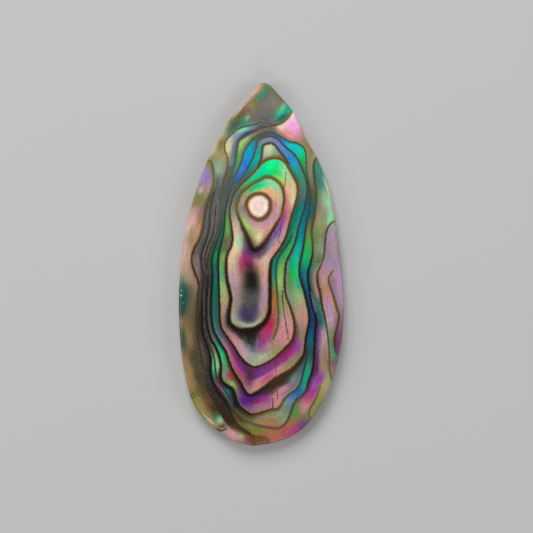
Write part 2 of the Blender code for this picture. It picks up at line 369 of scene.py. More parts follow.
# Each band between growth lines and the colours that it runs through. A run follows a line at a
# distance in pixels, to the left of the way its points go or, below zero, to the right. Its stops
# are where the colour turns: how far along the line, in percent, and the colour there.
BANDS = {
    "eye": [("eye", -3.5, "0 pearl")],
    "iris": [
        ("inner heart", -2.8, "0 mint 5 mint 12 straw 26 heather 35 blossom 45 walnut 51 walnut "
         "61 celery 67 celery 75 mauve 80 rose 85 celery 90 jade 96 jade"),
        ("eye", 3.4, "0 lime 8 peach 17 peach 25 rose 38 heather 50 rose 58 heather 67 smoke "
         "80 mauve 92 sage"),
    ],
    "heart": [
        ("inner heart", 2.6, "0 spring 8 lime 12 peach 20 coral 25 cerise 33 violet 42 steel "
         "46 ash 50 plum 54 sage 65 straw 71 sage 77 grey 83 slate 88 leaf 92 jade 97 jade"),
        ("heart", -2.8, "0 jade 3 neon 8 mint 14 straw 20 rose 28 heather 34 straw 38 straw "
         "44 rose 50 straw 55 frost 61 straw 69 shell 73 straw 78 cream 84 heather 88 grey "
         "91 slate 94 leaf 97 jade"),
    ],
    "spot": [
        ("spot arch", -2.4, "0 grey 12 steel 25 frost 44 cream 62 frost 75 sage 90 smoke"),
    ],
    "fan": [
        ("heart", 2.2, "0 turquoise 3 azure 6 periwinkle 9 turquoise 15 slate 18 pine 29 pine "
         "35 teal 38 sea 41 moss 44 rust 50 cerise 53 black 56 umber 59 mauve 63 sand 71 leaf "
         "80 walnut 85 leaf 88 slate 91 forest 97 petrol"),
        ("fan", -2.4, "0 steel 3 lavender 8 sky 11 sea 13 fern 16 slate 18 teal 23 sea 26 grass "
         "30 leaf 34 leaf 40 rose 45 rose 47 khaki 53 frost 57 heather 62 mauve 67 sand 71 celery "
         "76 fern 79 walnut 82 leaf 87 slate 92 petrol 95 turquoise 97 sea"),
    ],
    "band": [
        ("fan", 2.4, "0 ash 3 blue 5 sky 8 jade 11 fern 13 forest 18 petrol 22 teal 28 emerald "
         "32 fern 37 sage 39 sand 42 slate 45 magenta 49 violet 55 violet 58 cerise 61 slate "
         "65 lagoon 69 pine 81 pine 84 bottle 88 forest 92 blue 97 sky"),
        ("band", -2.4, "0 petrol 2 azure 5 sky 7 turquoise 10 ash 12 blue 14 sky 17 aqua 19 grass "
         "21 forest 24 forest 28 petrol 33 teal 36 emerald 38 grass 40 steel 45 sand 50 mauve "
         "55 khaki 57 rose 62 rose 64 mauve 67 cerise 71 rose 74 slate 81 pine 93 pine 96 forest"),
    ],
    "crescent": [
        ("band", 1.8, "0 forest 2 sea 7 celery 10 ash 12 salmon 14 rose 17 khaki 21 grey "
         "24 walnut 27 forest 31 lichen 36 emerald 40 navy 45 navy 49 petrol 52 bottle 55 slate "
         "57 charcoal 60 umber 63 wine 67 brick 70 leaf 74 slate 79 bottle 84 bottle 88 forest "
         "93 forest 96 grey"),
        ("collar", -2.4, "0 petrol 2 bottle 7 slate 12 mauve 15 rose 22 mauve 26 indigo 28 grey "
         "31 leaf 34 sage 37 emerald 42 slate 46 ash 49 bottle 67 bottle 70 ash 77 ash 81 sea "
         "84 celery 91 celery 93 ash 95 cream 98 pearl"),
        ("right collar", -2.0, "0 sand 5 sage 9 walnut 12 forest 19 forest 21 olive 26 fern "
         "29 grass 34 teal 40 navy 44 navy 48 blue 51 navy 56 petrol 60 bottle 63 slate 77 slate "
         "80 rose 91 mauve 94 tan"),
    ],
    "collar": [
        ("collar", 2.0, "0 navy 5 teal 7 emerald 12 blue 14 steel 18 sand 21 mauve 23 moss "
         "28 navy 30 emerald 33 wine 35 mint 40 lichen 42 bark 47 charcoal 51 bark 56 grey "
         "60 bark 64 ash 70 grey 75 ash 79 walnut 82 slate 88 lavender 91 slate 95 ash 100 grey"),
        ("collar top", -2.0, "0 forest 12 ash 27 walnut 36 slate 45 straw 55 cream 64 frost "
         "73 steel 82 mint 91 smoke 100 ash"),
        ("right collar", -2.2, "0 navy 51 navy 56 petrol 61 petrol 65 emerald 70 sea 74 blue "
         "77 slate 82 sage 87 tan 92 khaki 95 moss 98 bark"),
        ("left collar", 1.6, "0 slate 6 grey 15 ash 22 walnut 26 ash 31 grey 39 ash 44 charcoal "
         "52 charcoal 57 walnut 65 mint 70 emerald 74 wine 83 charcoal 87 bottle 97 moss"),
    ],
    "cap": [
        ("collar top", 2.5, "0 bark 9 forest 18 grey 31 sage 45 sand 55 tan 64 lichen 73 slate "
         "82 sea 92 grey"),
        ("left collar", -1.8, "0 grey 4 walnut 7 slate 13 grey 20 ash 28 grey 33 bark "
         "37 charcoal 62 charcoal 68 bark 76 charcoal 81 black 90 umber 96 olive 100 brown"),
        ("left margin", 2.0, "0 straw 4 steel 9 sage 17 walnut 24 grey 31 ash 43 ash 54 mauve "
         "62 bark 69 bark 76 charcoal 83 bark 91 walnut 100 charcoal"),
    ],
    "left": [
        ("left margin", -3.0, "0 olive 4 olive 9 lavender 13 lilac 17 sand 22 grey 30 clay "
         "35 sand 41 tan 48 sand 58 mauve 67 lichen 74 walnut 83 bark"),
        ("left margin", -9.0, "0 lilac 4 lilac 11 lavender 19 olive 26 heather 33 blossom "
         "39 sand 43 heather 48 blossom 54 sand 61 tan 65 forest 71 walnut 80 tan 93 bark"),
    ],
    "right": [
        ("right collar", 2.4, "0 slate 5 forest 10 fern 14 grey 19 khaki 24 fern 30 lichen "
         "35 pine 41 forest 47 slate 49 pine 54 violet 60 plum 65 plum 70 orchid 72 cerise "
         "76 moss 79 fern 85 clay 91 olive 94 moss 98 umber"),
        ("right collar", 8.0, "0 sea 7 sea 10 frost 17 sand 25 lichen 28 heather 30 forest "
         "33 sage 35 rose 40 rose 43 lagoon 47 sea 50 sage 53 heather 58 sand 63 sand 66 orchid "
         "70 magenta 74 rose 77 rose 80 olive 84 clay 88 clay 93 olive"),
    ],
    "right lobe": [
        ("right lobe", 2.4, "0 smoke 13 lilac 20 smoke 30 lilac 40 tan 50 rose 63 lilac "
         "73 lichen 83 sea 93 clay 100 brick"),
    ],
    "side lobe": [("side lobe", 2.2, "0 heather 14 mauve 29 lavender 50 grey 72 plum")],
    "low lobe": [("low lobe", 3.0, "0 sand 25 khaki 50 lichen 75 khaki 100 tan")],
}
# The run along the rim, clockwise from the tip, which the outer bands go out to. Its pale straw,
# shell and peach stops from 90 percent on, up the left flank to the tip, are painted highlight of
# the rounded rim.
RIM_RUN = (
    "0 olive 3 grey 5 sea 6 candy 9 blush 10 khaki 13 sea 16 frost 18 mint 20 smoke 24 lilac "
    "28 heather 30 mauve 33 plum 35 plum 36 sage 38 sand 42 lichen 44 violet 45 cerise 47 clay "
    "49 clay 50 brown 53 heather 57 khaki 60 olive 62 tan 64 tan 66 walnut 68 forest 69 tan "
    "71 lagoon 73 lagoon 75 sand 78 shell 81 shell 84 lichen 86 lilac 88 lavender 89 olive "
    "90 straw 93 straw 94 lichen 96 shell 99 peach"
)
RIM_BANDS = ("cap", "left", "right", "right lobe", "side lobe", "low lobe")

# Soft strokes over a band's runs: the points, the radius in pixels and the colours along it.
STROKES = {
    "eye": [
        ([(258.5, 207)], 4.5, "blush"),
    ],
    "iris": [
        ([(247, 190), (257, 185), (268, 183)], 3, "leaf jade mint"),
        ([(244, 196), (242, 204)], 2, "sage celery"),
        ([(258.5, 240), (259, 228)], 6, "straw shell"),
        ([(258.5, 242), (259, 233)], 3.6, "cream cream"),
    ],
    "heart": [
        ([(262, 171), (270, 167), (276, 172)], 4.5, "jade neon spring"),
        ([(272, 176), (282, 181)], 2.5, "lime lime"),
        ([(292, 184), (293, 196), (292, 206)], 2.5, "straw cream cream"),
        ([(287, 182), (286, 194), (284, 204)], 3.5, "peach salmon coral"),
        ([(284, 212), (281, 222), (278, 232)], 3, "cerise orchid lavender"),
        ([(273, 238), (268, 246), (262, 252)], 4, "lavender steel mauve"),
        ([(279, 240), (272, 252), (266, 262)], 3, "rose blossom shell"),
        ([(233, 262), (232, 278), (236, 294), (236, 308), (237, 318)],
         4.5, "shell heather heather heather frost"),
        ([(238, 238), (241, 248)], 3, "mint frost"),
        ([(241, 255), (242, 266), (244, 278)], 4.5, "cerise cerise rose"),
        ([(247, 256), (248, 266)], 5, "cerise wine"),
        ([(247, 252), (257, 251)], 3, "violet aubergine"),
        ([(256, 258), (257, 268)], 4, "shell blossom"),
        ([(250, 264), (251, 274), (252, 286), (252, 296)], 8, "wine umber black umber"),
        ([(251, 282), (250, 300), (249, 312), (248, 328)], 13, "charcoal dusk ash night night"),
        ([(251, 272), (252, 290)], 6, "black black"),
        ([(251, 294), (250, 310)], 7, "dusk dusk"),
        ([(246, 302), (244, 314)], 4, "ash night"),
        ([(255, 300), (255, 312)], 4, "dusk night"),
        ([(264, 258), (265, 275), (265, 290), (263, 303), (261, 312)],
         4, "shell blossom heather lilac heather"),
        ([(243, 312), (247, 316), (253, 317)], 6, "night night night"),
        ([(238, 322), (247, 325.5), (256, 323.5), (261, 318)], 2.2, "straw frost frost straw"),
    ],
    "fan": [
        ([(236, 330), (249, 333), (260, 331)], 4, "umber black umber"),
        ([(251, 334), (252, 343), (253, 354)], 5, "black bottle slate"),
        ([(244, 337), (247, 346)], 2.5, "forest ash"),
        ([(258, 337), (257, 346)], 2, "forest sage"),
        ([(276, 288), (274, 304), (270, 320), (266, 334), (262, 346), (258, 357)],
         6, "tan rust clay crimson cerise orchid mauve"),
        ([(275, 296), (273, 312)], 3, "rust clay"),
        ([(269, 320), (265, 336)], 2.8, "crimson cerise"),
        ([(259, 346), (266, 342), (273, 337)], 3, "orchid cerise mauve"),
        ([(262, 351), (270, 346)], 3.5, "mauve heather"),
        ([(228, 326), (235, 340), (244, 353), (251, 361)], 4.5, "mauve rose heather heather"),
        ([(250, 360), (263, 356)], 4, "sage frost"),
        ([(284, 318), (284, 330), (280, 342)], 5, "heather rose rose"),
        ([(279, 306), (278, 322), (275, 334)], 2.5, "leaf lichen tan"),
        ([(281, 262), (280, 280), (280, 300)], 3.5, "leaf celery lichen"),
        ([(278, 160), (286, 166), (291, 174)], 2.5, "periwinkle periwinkle sky"),
        ([(227.5, 220), (227.5, 236)], 2.5, "leaf leaf"),
        ([(230, 239), (228, 250)], 2.2, "mauve slate"),
        ([(224, 255), (222.5, 266)], 2.2, "celery lichen"),
        ([(223, 271), (223.5, 283)], 2.5, "sea sage"),
        ([(294, 176), (299, 192), (299, 204)], 3.5, "petrol slate slate"),
        ([(262, 146), (258, 158), (250, 171)], 2.5, "turquoise turquoise teal"),
    ],
    "band": [
        ([(284, 139), (292, 147), (299, 148.5)], 3, "azure aqua aqua"),
        ([(302, 152), (303, 162)], 3, "jade grass"),
        ([(222, 214), (221, 228)], 2, "slate lagoon"),
        ([(216.5, 252), (216, 262)], 2.5, "emerald emerald"),
        ([(216, 269), (216, 288)], 2.5, "petrol petrol"),
        ([(255, 137), (264, 134), (274, 135)], 3, "ash ash slate"),
        ([(250, 146), (246, 157), (240, 169), (234, 181)], 3.5, "sky sky azure blue"),
        ([(301, 232), (298, 248), (295, 262), (298, 281)], 4.5, "teal turquoise jade jade"),
        ([(292, 260), (292, 272), (294, 284)], 3, "emerald grass leaf"),
        ([(299, 284), (302, 296)], 3.5, "emerald leaf"),
        ([(296, 292), (301, 305), (302, 320), (303, 334)], 5, "celery sand rose tan"),
        ([(233, 352), (238, 361), (244, 369)], 4.5, "cerise magenta violet"),
        ([(250, 368), (250, 382)], 5, "umber aubergine"),
        ([(258, 372), (270, 366), (283, 357), (291, 348)], 4, "orchid orchid magenta magenta"),
        ([(257, 386), (266, 379), (277, 370), (289, 361)], 3, "rose cerise rose mauve"),
        ([(296, 342), (296, 352)], 4, "orchid orchid"),
    ],
    "crescent": [
        ([(289, 120), (294, 127), (298, 136)], 8, "petal petal candy"),
        ([(284, 128), (291, 140)], 4, "salmon salmon"),
        ([(279, 127), (286, 121), (293, 114)], 2.2, "cream pearl pearl"),
        ([(300, 141), (306, 147), (310, 160)], 4, "tan khaki lichen"),
        ([(256, 131), (266, 128), (275, 129)], 3, "ash ash ash"),
        ([(247, 140), (242, 150), (236, 162)], 3, "celery leaf fern"),
        ([(312, 172), (312, 190)], 3, "sage walnut"),
        ([(312, 203), (310, 218)], 3, "petrol petrol"),
        ([(308, 236), (306, 250), (304, 262)], 4, "leaf grass grass"),
        ([(304, 272), (307, 285), (311, 305), (312, 325)], 3, "teal petrol navy navy"),
        ([(218, 342), (222, 354), (224, 366)], 3.5, "emerald jade leaf"),
        ([(229, 377), (230.5, 375.5)], 5, "crimson crimson"),
        ([(229.8, 376.5)], 3, "cerise"),
        ([(231, 383), (236, 388)], 2.5, "celery leaf"),
        ([(242, 393), (247, 398), (254, 399)], 5.5, "violet indigo indigo"),
        ([(258, 400), (267, 399), (274, 396)], 5, "magenta orchid rose"),
        ([(268, 388), (278, 381), (290, 374)], 3.2, "umber umber bark"),
        ([(276, 392), (287, 387)], 3, "rose heather"),
        ([(292, 382), (298, 372)], 3, "sage slate"),
    ],
    "collar": [
        ([(238, 131), (245, 128), (252, 126)], 2, "mint mint sea"),
        ([(242, 136), (250, 131)], 2.2, "blue blue"),
        ([(228, 150), (230, 142)], 2.5, "cream straw"),
        ([(235, 152), (231, 164)], 2.5, "slate steel"),
        ([(228, 390), (232, 400), (237, 409)], 3.5, "emerald petrol navy"),
        ([(289, 404), (297, 394)], 3.5, "steel blue"),
        ([(303, 384), (308, 366)], 3.5, "sea emerald"),
        ([(259, 413), (272, 413), (284, 407)], 4.5, "lichen lichen lichen"),
        ([(262, 424), (276, 424)], 3, "tan clay"),
    ],
    "cap": [
        ([(240, 116), (250, 109), (260, 101), (270, 93), (278, 88)], 7, "walnut walnut grey grey"),
        ([(252, 112), (262, 108), (274, 100)], 10, "grey grey smoke"),
        ([(256, 99), (248, 105), (238, 116), (230, 127)], 4, "khaki walnut moss moss"),
        ([(267, 91), (258, 99), (250, 106), (243, 114)], 5, "walnut walnut khaki walnut"),
        ([(267, 88), (263, 94), (256, 101)], 3.5, "sea sea lichen"),
        ([(264, 85)], 2.5, "olive"),
        ([(277, 116), (285, 105)], 3.2, "jade mint"),
        ([(291, 106), (287, 113)], 3.5, "turquoise turquoise"),
        ([(278, 120), (286, 115)], 2, "lagoon lagoon"),
        ([(262, 120), (272, 117)], 4, "ash slate"),
        ([(245, 122), (248, 116)], 2, "sea mint"),
        ([(238, 121), (227, 134)], 4, "forest slate"),
        ([(222, 140), (218, 153)], 3.5, "walnut khaki"),
        ([(217, 160), (219, 172)], 4, "sage frost"),
        ([(218, 178), (214, 195)], 4, "slate ash"),
        ([(197, 256), (199, 271)], 3, "mauve grey"),
        ([(210, 388), (218, 403), (227, 417)], 6, "charcoal charcoal umber"),
        ([(224, 400), (231, 411), (238, 420)], 4, "charcoal black charcoal"),
        ([(232, 433), (237, 437)], 4, "blossom heather"),
        ([(240, 436), (243, 441)], 3, "straw sage"),
        ([(247.5, 440)], 3.5, "crimson"),
        # A painted highlight along the rounded rim, from the tip down the left flank.
        ([(257, 87), (248, 97), (240, 107), (231, 119)], 2.2, "peach blush shell sand"),
    ],
    "left": [
        ([(186, 287), (184, 298), (181, 314)], 5, "bottle lagoon bottle"),
        ([(184.5, 289), (183, 300), (180.5, 315)], 4, "lagoon bottle bottle"),
        ([(193, 290), (195, 305), (196, 322)], 5, "walnut walnut bark"),
        ([(204, 186), (199, 192)], 3, "heather shell"),
        ([(201, 208), (199, 224)], 3, "mauve tan"),
        ([(204, 198), (192, 204)], 4.5, "lichen olive"),
        ([(191, 212), (188, 228)], 4, "blossom shell"),
        ([(193, 226), (190, 244)], 4, "sand tan"),
        ([(182, 334), (183, 348)], 3.5, "bottle bottle"),
        ([(188, 320), (190, 346)], 4, "walnut tan"),
        ([(190, 366), (191, 388)], 5, "tan tan"),
        ([(200, 300), (202, 340), (207, 376)], 5, "bark bark bark"),
        ([(197, 398), (206, 410), (214, 416)], 5, "khaki khaki lichen"),
        ([(204, 378), (208, 390), (213, 401), (219, 413), (225, 423)],
         7, "bark umber umber umber umber"),
        ([(204, 392), (209, 402), (215, 410)], 5, "bark brown umber"),
        ([(197, 352), (199, 372), (202, 390)], 5, "bark bark bark"),
        ([(217, 416.5), (222, 423.5)], 4, "sea mint frost"),
        ([(208, 420), (216, 427)], 2, "straw khaki"),
        ([(217, 428), (224, 426)], 2.2, "olive umber"),
    ],
    "right": [
        ([(318, 166), (321, 188)], 3.5, "sea slate"),
        ([(328, 200), (331, 211)], 3.5, "mint frost"),
        ([(325, 209), (323, 222)], 4, "sage sage"),
        ([(316, 230), (316, 250)], 3, "lichen lichen"),
        ([(321, 238), (320, 256)], 3.5, "sage sage"),
        ([(318, 284), (319, 298)], 3, "rose rose"),
        ([(318, 310), (321, 326)], 3.5, "lagoon lagoon"),
        ([(317, 330), (318, 348)], 3.5, "violet lavender"),
        ([(325, 338), (325, 352), (324, 370)], 3, "heather mauve tan"),
        ([(315, 358), (315, 372)], 3.5, "night aubergine"),
        ([(313, 381), (314, 389), (309, 400)], 4, "lavender orchid cerise"),
        ([(297, 406), (295, 414)], 4, "fern fern"),
        ([(306, 423)], 2.5, "violet"),
        ([(292, 421), (284, 430)], 4, "clay clay"),
        ([(290, 434), (299, 428)], 4, "cerise cerise"),
        ([(262, 427), (272, 432)], 4, "lichen clay"),
        ([(252, 440), (265, 441.5)], 3.6, "bronze bronze"),
        ([(246, 424), (258, 428)], 3.5, "lichen lichen"),
    ],
    "right lobe": [
        ([(333, 347), (333, 358)], 3, "sea leaf"),
        ([(333, 230), (335, 255)], 4, "lilac heather"),
        ([(326, 270), (324, 285)], 4, "rose heather"),
        ([(328, 300), (331, 325)], 3, "lilac heather"),
    ],
}

# Fine marks that cross the bands: hairline cracks, pale hairs beside the dark layers and pits,
# each with its points, its width in pixels and its colours. Among them are pale lines along the
# rounded rim, which are painted highlights.
MARKS = [
    ([(286, 172), (285.5, 180), (283.5, 190)], 0.9, "bark"),
    ([(281, 224), (280.5, 232), (278.5, 238), (279.5, 243), (283, 250), (284, 260)], 0.9, "dusk"),
    ([(283, 291), (282.5, 298), (283, 305), (284, 312), (284.7, 318), (286, 324), (287.8, 335),
      (288.6, 340)],
     1.2, "umber brown"),
    ([(287, 350), (286, 362)], 1, "wine"),
    ([(276, 358), (276, 372)], 1, "wine"),
    ([(277, 385), (277.5, 400)], 1, "wine"),
    ([(272, 398), (273, 405), (272, 410)], 1.1, "umber"),
    # Painted highlight along the upper left edge of the rim.
    ([(224, 128), (217, 141), (211, 155)], 1, "frost straw frost"),
    # Painted highlight along the upper right edge of the rim.
    ([(322, 174), (325.8, 184), (328.8, 193), (331.8, 203)], 1.4, "sea frost cream cream mint"),
    # Painted highlight along the left edge of the rim, up to the tip.
    ([(221, 131), (232, 112), (243, 99), (254, 86)], 1.1, "sand shell pearl shell"),
    # Painted highlight on the left edge of the rim.
    ([(186, 222), (183, 240)], 0.9, "shell"),
    ([(214, 208), (213, 216), (211.8, 226), (209, 236), (205.8, 246), (203.2, 257), (204, 265),
      (206.5, 275)],
     0.9, "ash grey grey grey grey ash ash"),
    ([(219.5, 228), (216.3, 237), (211, 246.5), (207, 256), (206.8, 264), (207.5, 276)],
     0.9, "ash grey grey grey ash ash ash"),
    ([(204, 290), (204, 318), (206, 338)], 1, "ash ash ash"),
    ([(209, 290), (208, 316), (212, 336)], 1, "ash ash ash"),
    ([(214, 380), (222, 390), (228, 400), (236, 412)], 1, "ash smoke ash bark"),
    ([(193.2, 255), (193, 262), (196.8, 271), (199.8, 280)], 0.8, "tan khaki tan"),
    ([(311, 292), (313.5, 303), (315.5, 313)], 0.9, "slate steel slate"),
    # Painted highlight along the lower left edge of the rim.
    ([(196, 403), (204, 415), (213, 424)], 1, "khaki straw straw"),
    ([(191, 394.5), (193.5, 393.5), (195, 396), (193, 398.5), (191, 397), (191, 394.5)],
     0.9, "bark"),
    ([(197, 392.5), (198, 396)], 0.9, "bark"),
    ([(214, 427.5), (218, 430), (222.5, 431), (226, 429)], 1.2, "bark umber umber"),
    ([(219, 432.5), (224, 437), (227.5, 440)], 1.2, "lilac pearl steel"),
    ([(181.5, 290), (182.5, 291.5)], 1, "frost"),
    ([(180.5, 295), (181.5, 296)], 1, "mint"),
    ([(183, 303), (184, 304)], 0.9, "steel"),
    ([(184.5, 296.5), (185, 297.5)], 0.8, "slate"),
]

# The mesh: steps between a line's points, along the outline, round the edge and down the wall.
LINE_STEPS = 5
OUTLINE_STEPS = 12
EDGE_STEPS = 5
WALL_STEPS = 6
# How far inside the path a face's middle has to be to be kept, as a share of the face's size.
TRIM_MARGIN = 0.35
SMOOTH_ANGLE = math.radians(35)
# A face whose normal points down more than this is on the back.
BACK_NORMAL = -0.9
# The gap round each piece of the UV map.
UV_GAP = 0.5 * MM

# The painting, in pixels: how close together a run's dabs are, how far each one reaches, how much
# a dab far away counts, and how far inside the rim its run is.
DAB_SPACING = 3.0
DAB_REACH = 4.0
FAR_DAB_WEIGHT = 1e-4
RIM_RUN_DEPTH = -3.5
HALF_PIXEL = 0.5
# A stroke's strength, its reach in radii and the length of one that has a single point.
STROKE_STRENGTH = 0.85
STROKE_REACH = 3
DOT_LENGTH = 0.1
# How quickly a fine mark fades at its sides.
MARK_FADE = 1.1
# A seam's strength, how far out across the line's core it starts, and how its width spreads.
SEAM_STRENGTH = 0.88
SEAM_START = 0.6
SEAM_SPREAD = 1.6
# A growth line thins out over this share of its length at an open end.
END_FADE = 0.03
# What a place with no line near it has: a distance in pixels, and a nearness in half widths of a
# line. And how far from a line its layers are counted.
FAR = 1e6
LINE_FAR = 6.0
LAYER_REACH = 14.0
# Below this depth under the crown's top the layers show on the wall, and they lean inwards.
LAYERS_START = 0.45 * MM
LAYER_LEAN = 0.5

# The nacre's patterns: how widely its layers sway and drift, a layer's width, a patch of one hue,
# a fibre's width and length, and the grain of the fibres end on.
SWAY = 2.2 * MM
DRIFT = 3.0 * MM
LAYER_WIDTH = 0.2
PATCH = 0.9 * MM
FIBRE_WIDTH, FIBRE_LENGTH = 0.16 * MM, 1.6 * MM
GRAIN = 0.22 * MM
# How far the sway moves a layer, in millimetres, as LAYER_WIDTH is.
SWAY_DEPTH = 0.5
# Nearly all of a noise's values are between these two.
NOISE_LOW, NOISE_HIGH = 0.3, 0.7
# How much the layers, the fibres and the grain lighten or darken the nacre, how far the patches
# turn its hue from the middle of the hue setting, and how much dust the grain adds.
LAYER_CONTRAST = 0.11
FIBRE_CONTRAST = 0.07
GRAIN_CONTRAST = 0.14
SAME_HUE, HUE_TURN = 0.5, 0.015
DUST = 0.01
# How much the grain frays a growth line, and at which nearness the line is full and is gone.
FRAY = 1.8
LINE_FULL, LINE_GONE = 1.45, 2.55
LINE_STRENGTH = 0.98
# Nacre's refractive index, the ripple of its polished face, and the grinding scratches.
NACRE_IOR = 1.53
RIPPLE = 1.5 * MM
SCRATCH_WIDTH, SCRATCH_LENGTH = 0.12 * MM, 2.5 * MM
SCRATCH_ANGLE = math.radians(24)
# How much of the ground face's colour is dust, and the tooth of the paper on the floor.
DUST_SHARE = 0.32
TOOTH = 0.4 * MM

# How many places are compared with a path at a time, and a length that is as good as none.
ROWS_AT_ONCE = 2500
TINY = 1e-9


def smooth_run(points, closed=False, steps=LINE_STEPS):
    """A Catmull-Rom curve through the points, with this many steps between neighbours."""
    p = np.array(points, dtype=float)
    if closed:
        p = np.vstack([p[-1:], p, p[:2]])
    else:
        p = np.vstack([2 * p[:1] - p[1:2], p, 2 * p[-1:] - p[-2:-1]])
    t = np.linspace(0.0, 1.0, steps, endpoint=False)[:, None]
    pieces = [
        0.5 * (2 * start + (end - before) * t
               + (2 * before - 5 * start + 4 * end - after) * t**2
               + (3 * start - before - 3 * end + after) * t**3)
        for before, start, end, after in zip(p[:-3], p[1:-2], p[2:-1], p[3:])
    ]
    return np.vstack([*pieces, p[-2:-1]])


def evenly_along(path, count):
    """This many places at equal steps along a path, and the way it runs at each."""
    passed = np.concatenate([[0.0], np.cumsum(np.hypot(*np.diff(path, axis=0).T))])
    wanted = np.linspace(0.0, passed[-1], count)

    def place(distance):
        return np.stack([np.interp(distance, passed, path[:, axis]) for axis in (0, 1)], axis=1)

    way = place(wanted + HALF_PIXEL) - place(wanted - HALF_PIXEL)
    return place(wanted), way / np.linalg.norm(way, axis=1)[:, None]


def inside(places, polygon):
    """Whether each place is inside a closed polygon, by how many of its sides are to the right."""
    x, y = places.T
    within = np.zeros(len(places), dtype=bool)
    for (x0, y0), (x1, y1) in zip(polygon, np.roll(polygon, -1, axis=0)):
        if y0 == y1:
            continue
        within ^= ((y0 > y) != (y1 > y)) & (x < (x1 - x0) * (y - y0) / (y1 - y0) + x0)
    return within


def few_at_once(rows):
    """Splits row numbers into pieces that are small enough to compare with a whole path."""
    return np.array_split(rows, max(1, len(rows) // ROWS_AT_ONCE))


def near_line(places, path, reach):
    """How far each place is from a path, on which side of it and how far along, as a share."""
    low, high = path.min(axis=0) - reach, path.max(axis=0) + reach
    near = np.flatnonzero(((places > low) & (places < high)).all(axis=1))
    start, run = path[:-1], np.diff(path, axis=0)
    size = (run**2).sum(axis=1)
    passed = np.concatenate([[0.0], np.cumsum(np.sqrt(size))])
    distance = np.full(len(places), FAR)
    side = np.zeros(len(places))
    share = np.zeros(len(places))
    for few in few_at_once(near):
        gap = places[few, None] - start
        part = np.clip((gap * run).sum(axis=2) / size, 0.0, 1.0)
        miss = gap - part[..., None] * run
        best = (miss**2).sum(axis=2).argmin(axis=1)
        rows = np.arange(len(few))
        miss = miss[rows, best]
        distance[few] = np.hypot(*miss.T)
        side[few] = np.sign(run[best, 1] * miss[:, 0] - run[best, 0] * miss[:, 1])
        share[few] = (passed[best] + part[rows, best] * np.sqrt(size[best])) / passed[-1]
    return distance, side, share


def areas():
    """The bands' areas as polygons in pixels, from the middle out: the first that fits counts."""
    def part(points, first=None, last=None):
        return [tuple(p) for p in smooth_run(points[first:last])]

    # The collar's band runs up inside the left collar and back over its own top.
    collar_band = [
        *part(RIGHT_COLLAR), *part(LEFT_COLLAR, None, LEFT_COLLAR_FOOT + 1)[::-1],
        *LEFT_SHOULDER, *part(COLLAR_TOP, 1), *COLLAR_CROSSING, *OUTSIDE_SHOULDER,
    ]
    return [
        ("eye", smooth_run(EYE, True)),
        ("iris", smooth_run(INNER_HEART, True)),
        ("spot", part(SPOT_ARCH, 1) + SPOT_FOOT),
        ("heart", smooth_run(HEART, True)),
        ("fan", smooth_run(FAN, True)),
        ("band", smooth_run(BAND, True)),
        ("crescent", part(COLLAR) + OUTSIDE_SHOULDER + part(RIGHT_COLLAR, None, RIGHT_COLLAR_FOOT)),
        ("collar", collar_band),
        ("side lobe", part(SIDE_LOBE) + OUTSIDE_SIDE_LOBE),
        ("right lobe", part(RIGHT_LOBE) + OUTSIDE_RIGHT_LOBE),
        ("low lobe", part(LOW_LOBE) + OUTSIDE_LOW_LOBE),
        ("right", part(RIGHT_COLLAR) + part(LEFT_COLLAR, LEFT_COLLAR_FOOT) + OUTSIDE_RIGHT),
        ("cap", part(LEFT_MARGIN) + MARGIN_FOOT + OUTSIDE_CAP),
        ("left", OUTSIDE_ALL),
    ]


def srgb(code):
    """A hex colour's three sRGB values, from 0 to 1."""
    return np.array([int(code[i:i + 2], 16) / 255 for i in (1, 3, 5)])


def to_linear(value):
    """sRGB values turned to linear ones."""
    value = np.asarray(value, dtype=float)
    return np.where(value <= 0.04045, value / 12.92, ((value + 0.055) / 1.055) ** 2.4)


def ramp(names, share):
    """The colour at each share of the way through a run of named colours at equal steps."""
    stops = np.array([srgb(NACRE[name]) for name in names.split()])
    at = np.linspace(0.0, 1.0, len(stops))
    return np.stack([np.interp(share, at, shade) for shade in stops.T], axis=1)


def closing(names, closed):
    """A loop's run of names with its first name again at its end."""
    return f"{names} {names.split()[0]}" if closed else names


def width_at(widths, share, closed):
    """The width in pixels at each share of the way along a line."""
    stops = [float(width) for width in closing(widths, closed).split()]
    return np.interp(share, np.linspace(0.0, 1.0, len(stops)), stops)


def run_dabs(path, offset, stops, closed):
    """Places close together beside a line, and the colour that its run has at each."""
    words = stops.split()
    at = [int(percent) / 100 for percent in words[::2]]
    colours = np.array([srgb(NACRE[name]) for name in words[1::2]])
    count = max(2, int(np.hypot(*np.diff(path, axis=0).T).sum() / DAB_SPACING))
    places, way = evenly_along(path, count)
    places = places + offset * np.stack([way[:, 1], -way[:, 0]], axis=1)
    along = np.linspace(0.0, 1.0, count)
    period = 1.0 if closed else None
    shades = [np.interp(along, at, shade, period=period) for shade in colours.T]
    return places, np.stack(shades, axis=1)


def blended(places, dabs, colours):
    """Each place's colour: that of the dabs round it, the nearest counting most."""
    result = np.empty((len(places), 3))
    for few in few_at_once(np.arange(len(places))):
        gap = ((places[few, None] - dabs) ** 2).sum(axis=2)
        weight = np.exp(-gap / DAB_REACH**2) + FAR_DAB_WEIGHT / (1.0 + gap) ** 2
        result[few] = weight @ colours / weight.sum(axis=1)[:, None]
    return result


def stroke(colours, places, points, radius, names):
    """Lays a soft stroke through these points, whose colours change along it."""
    if len(points) == 1:
        points = [points[0], (points[0][0] + DOT_LENGTH, points[0][1])]
    distance, _, share = near_line(places, smooth_run(points), radius * STROKE_REACH)
    # It is full along its middle and half as strong at its ends.
    strength = STROKE_STRENGTH * (1 - abs(2 * share - 1) ** 4 / 2)
    weight = strength * np.exp(-(distance / radius) ** 2)
    colours += (ramp(names, share) - colours) * weight[:, None]


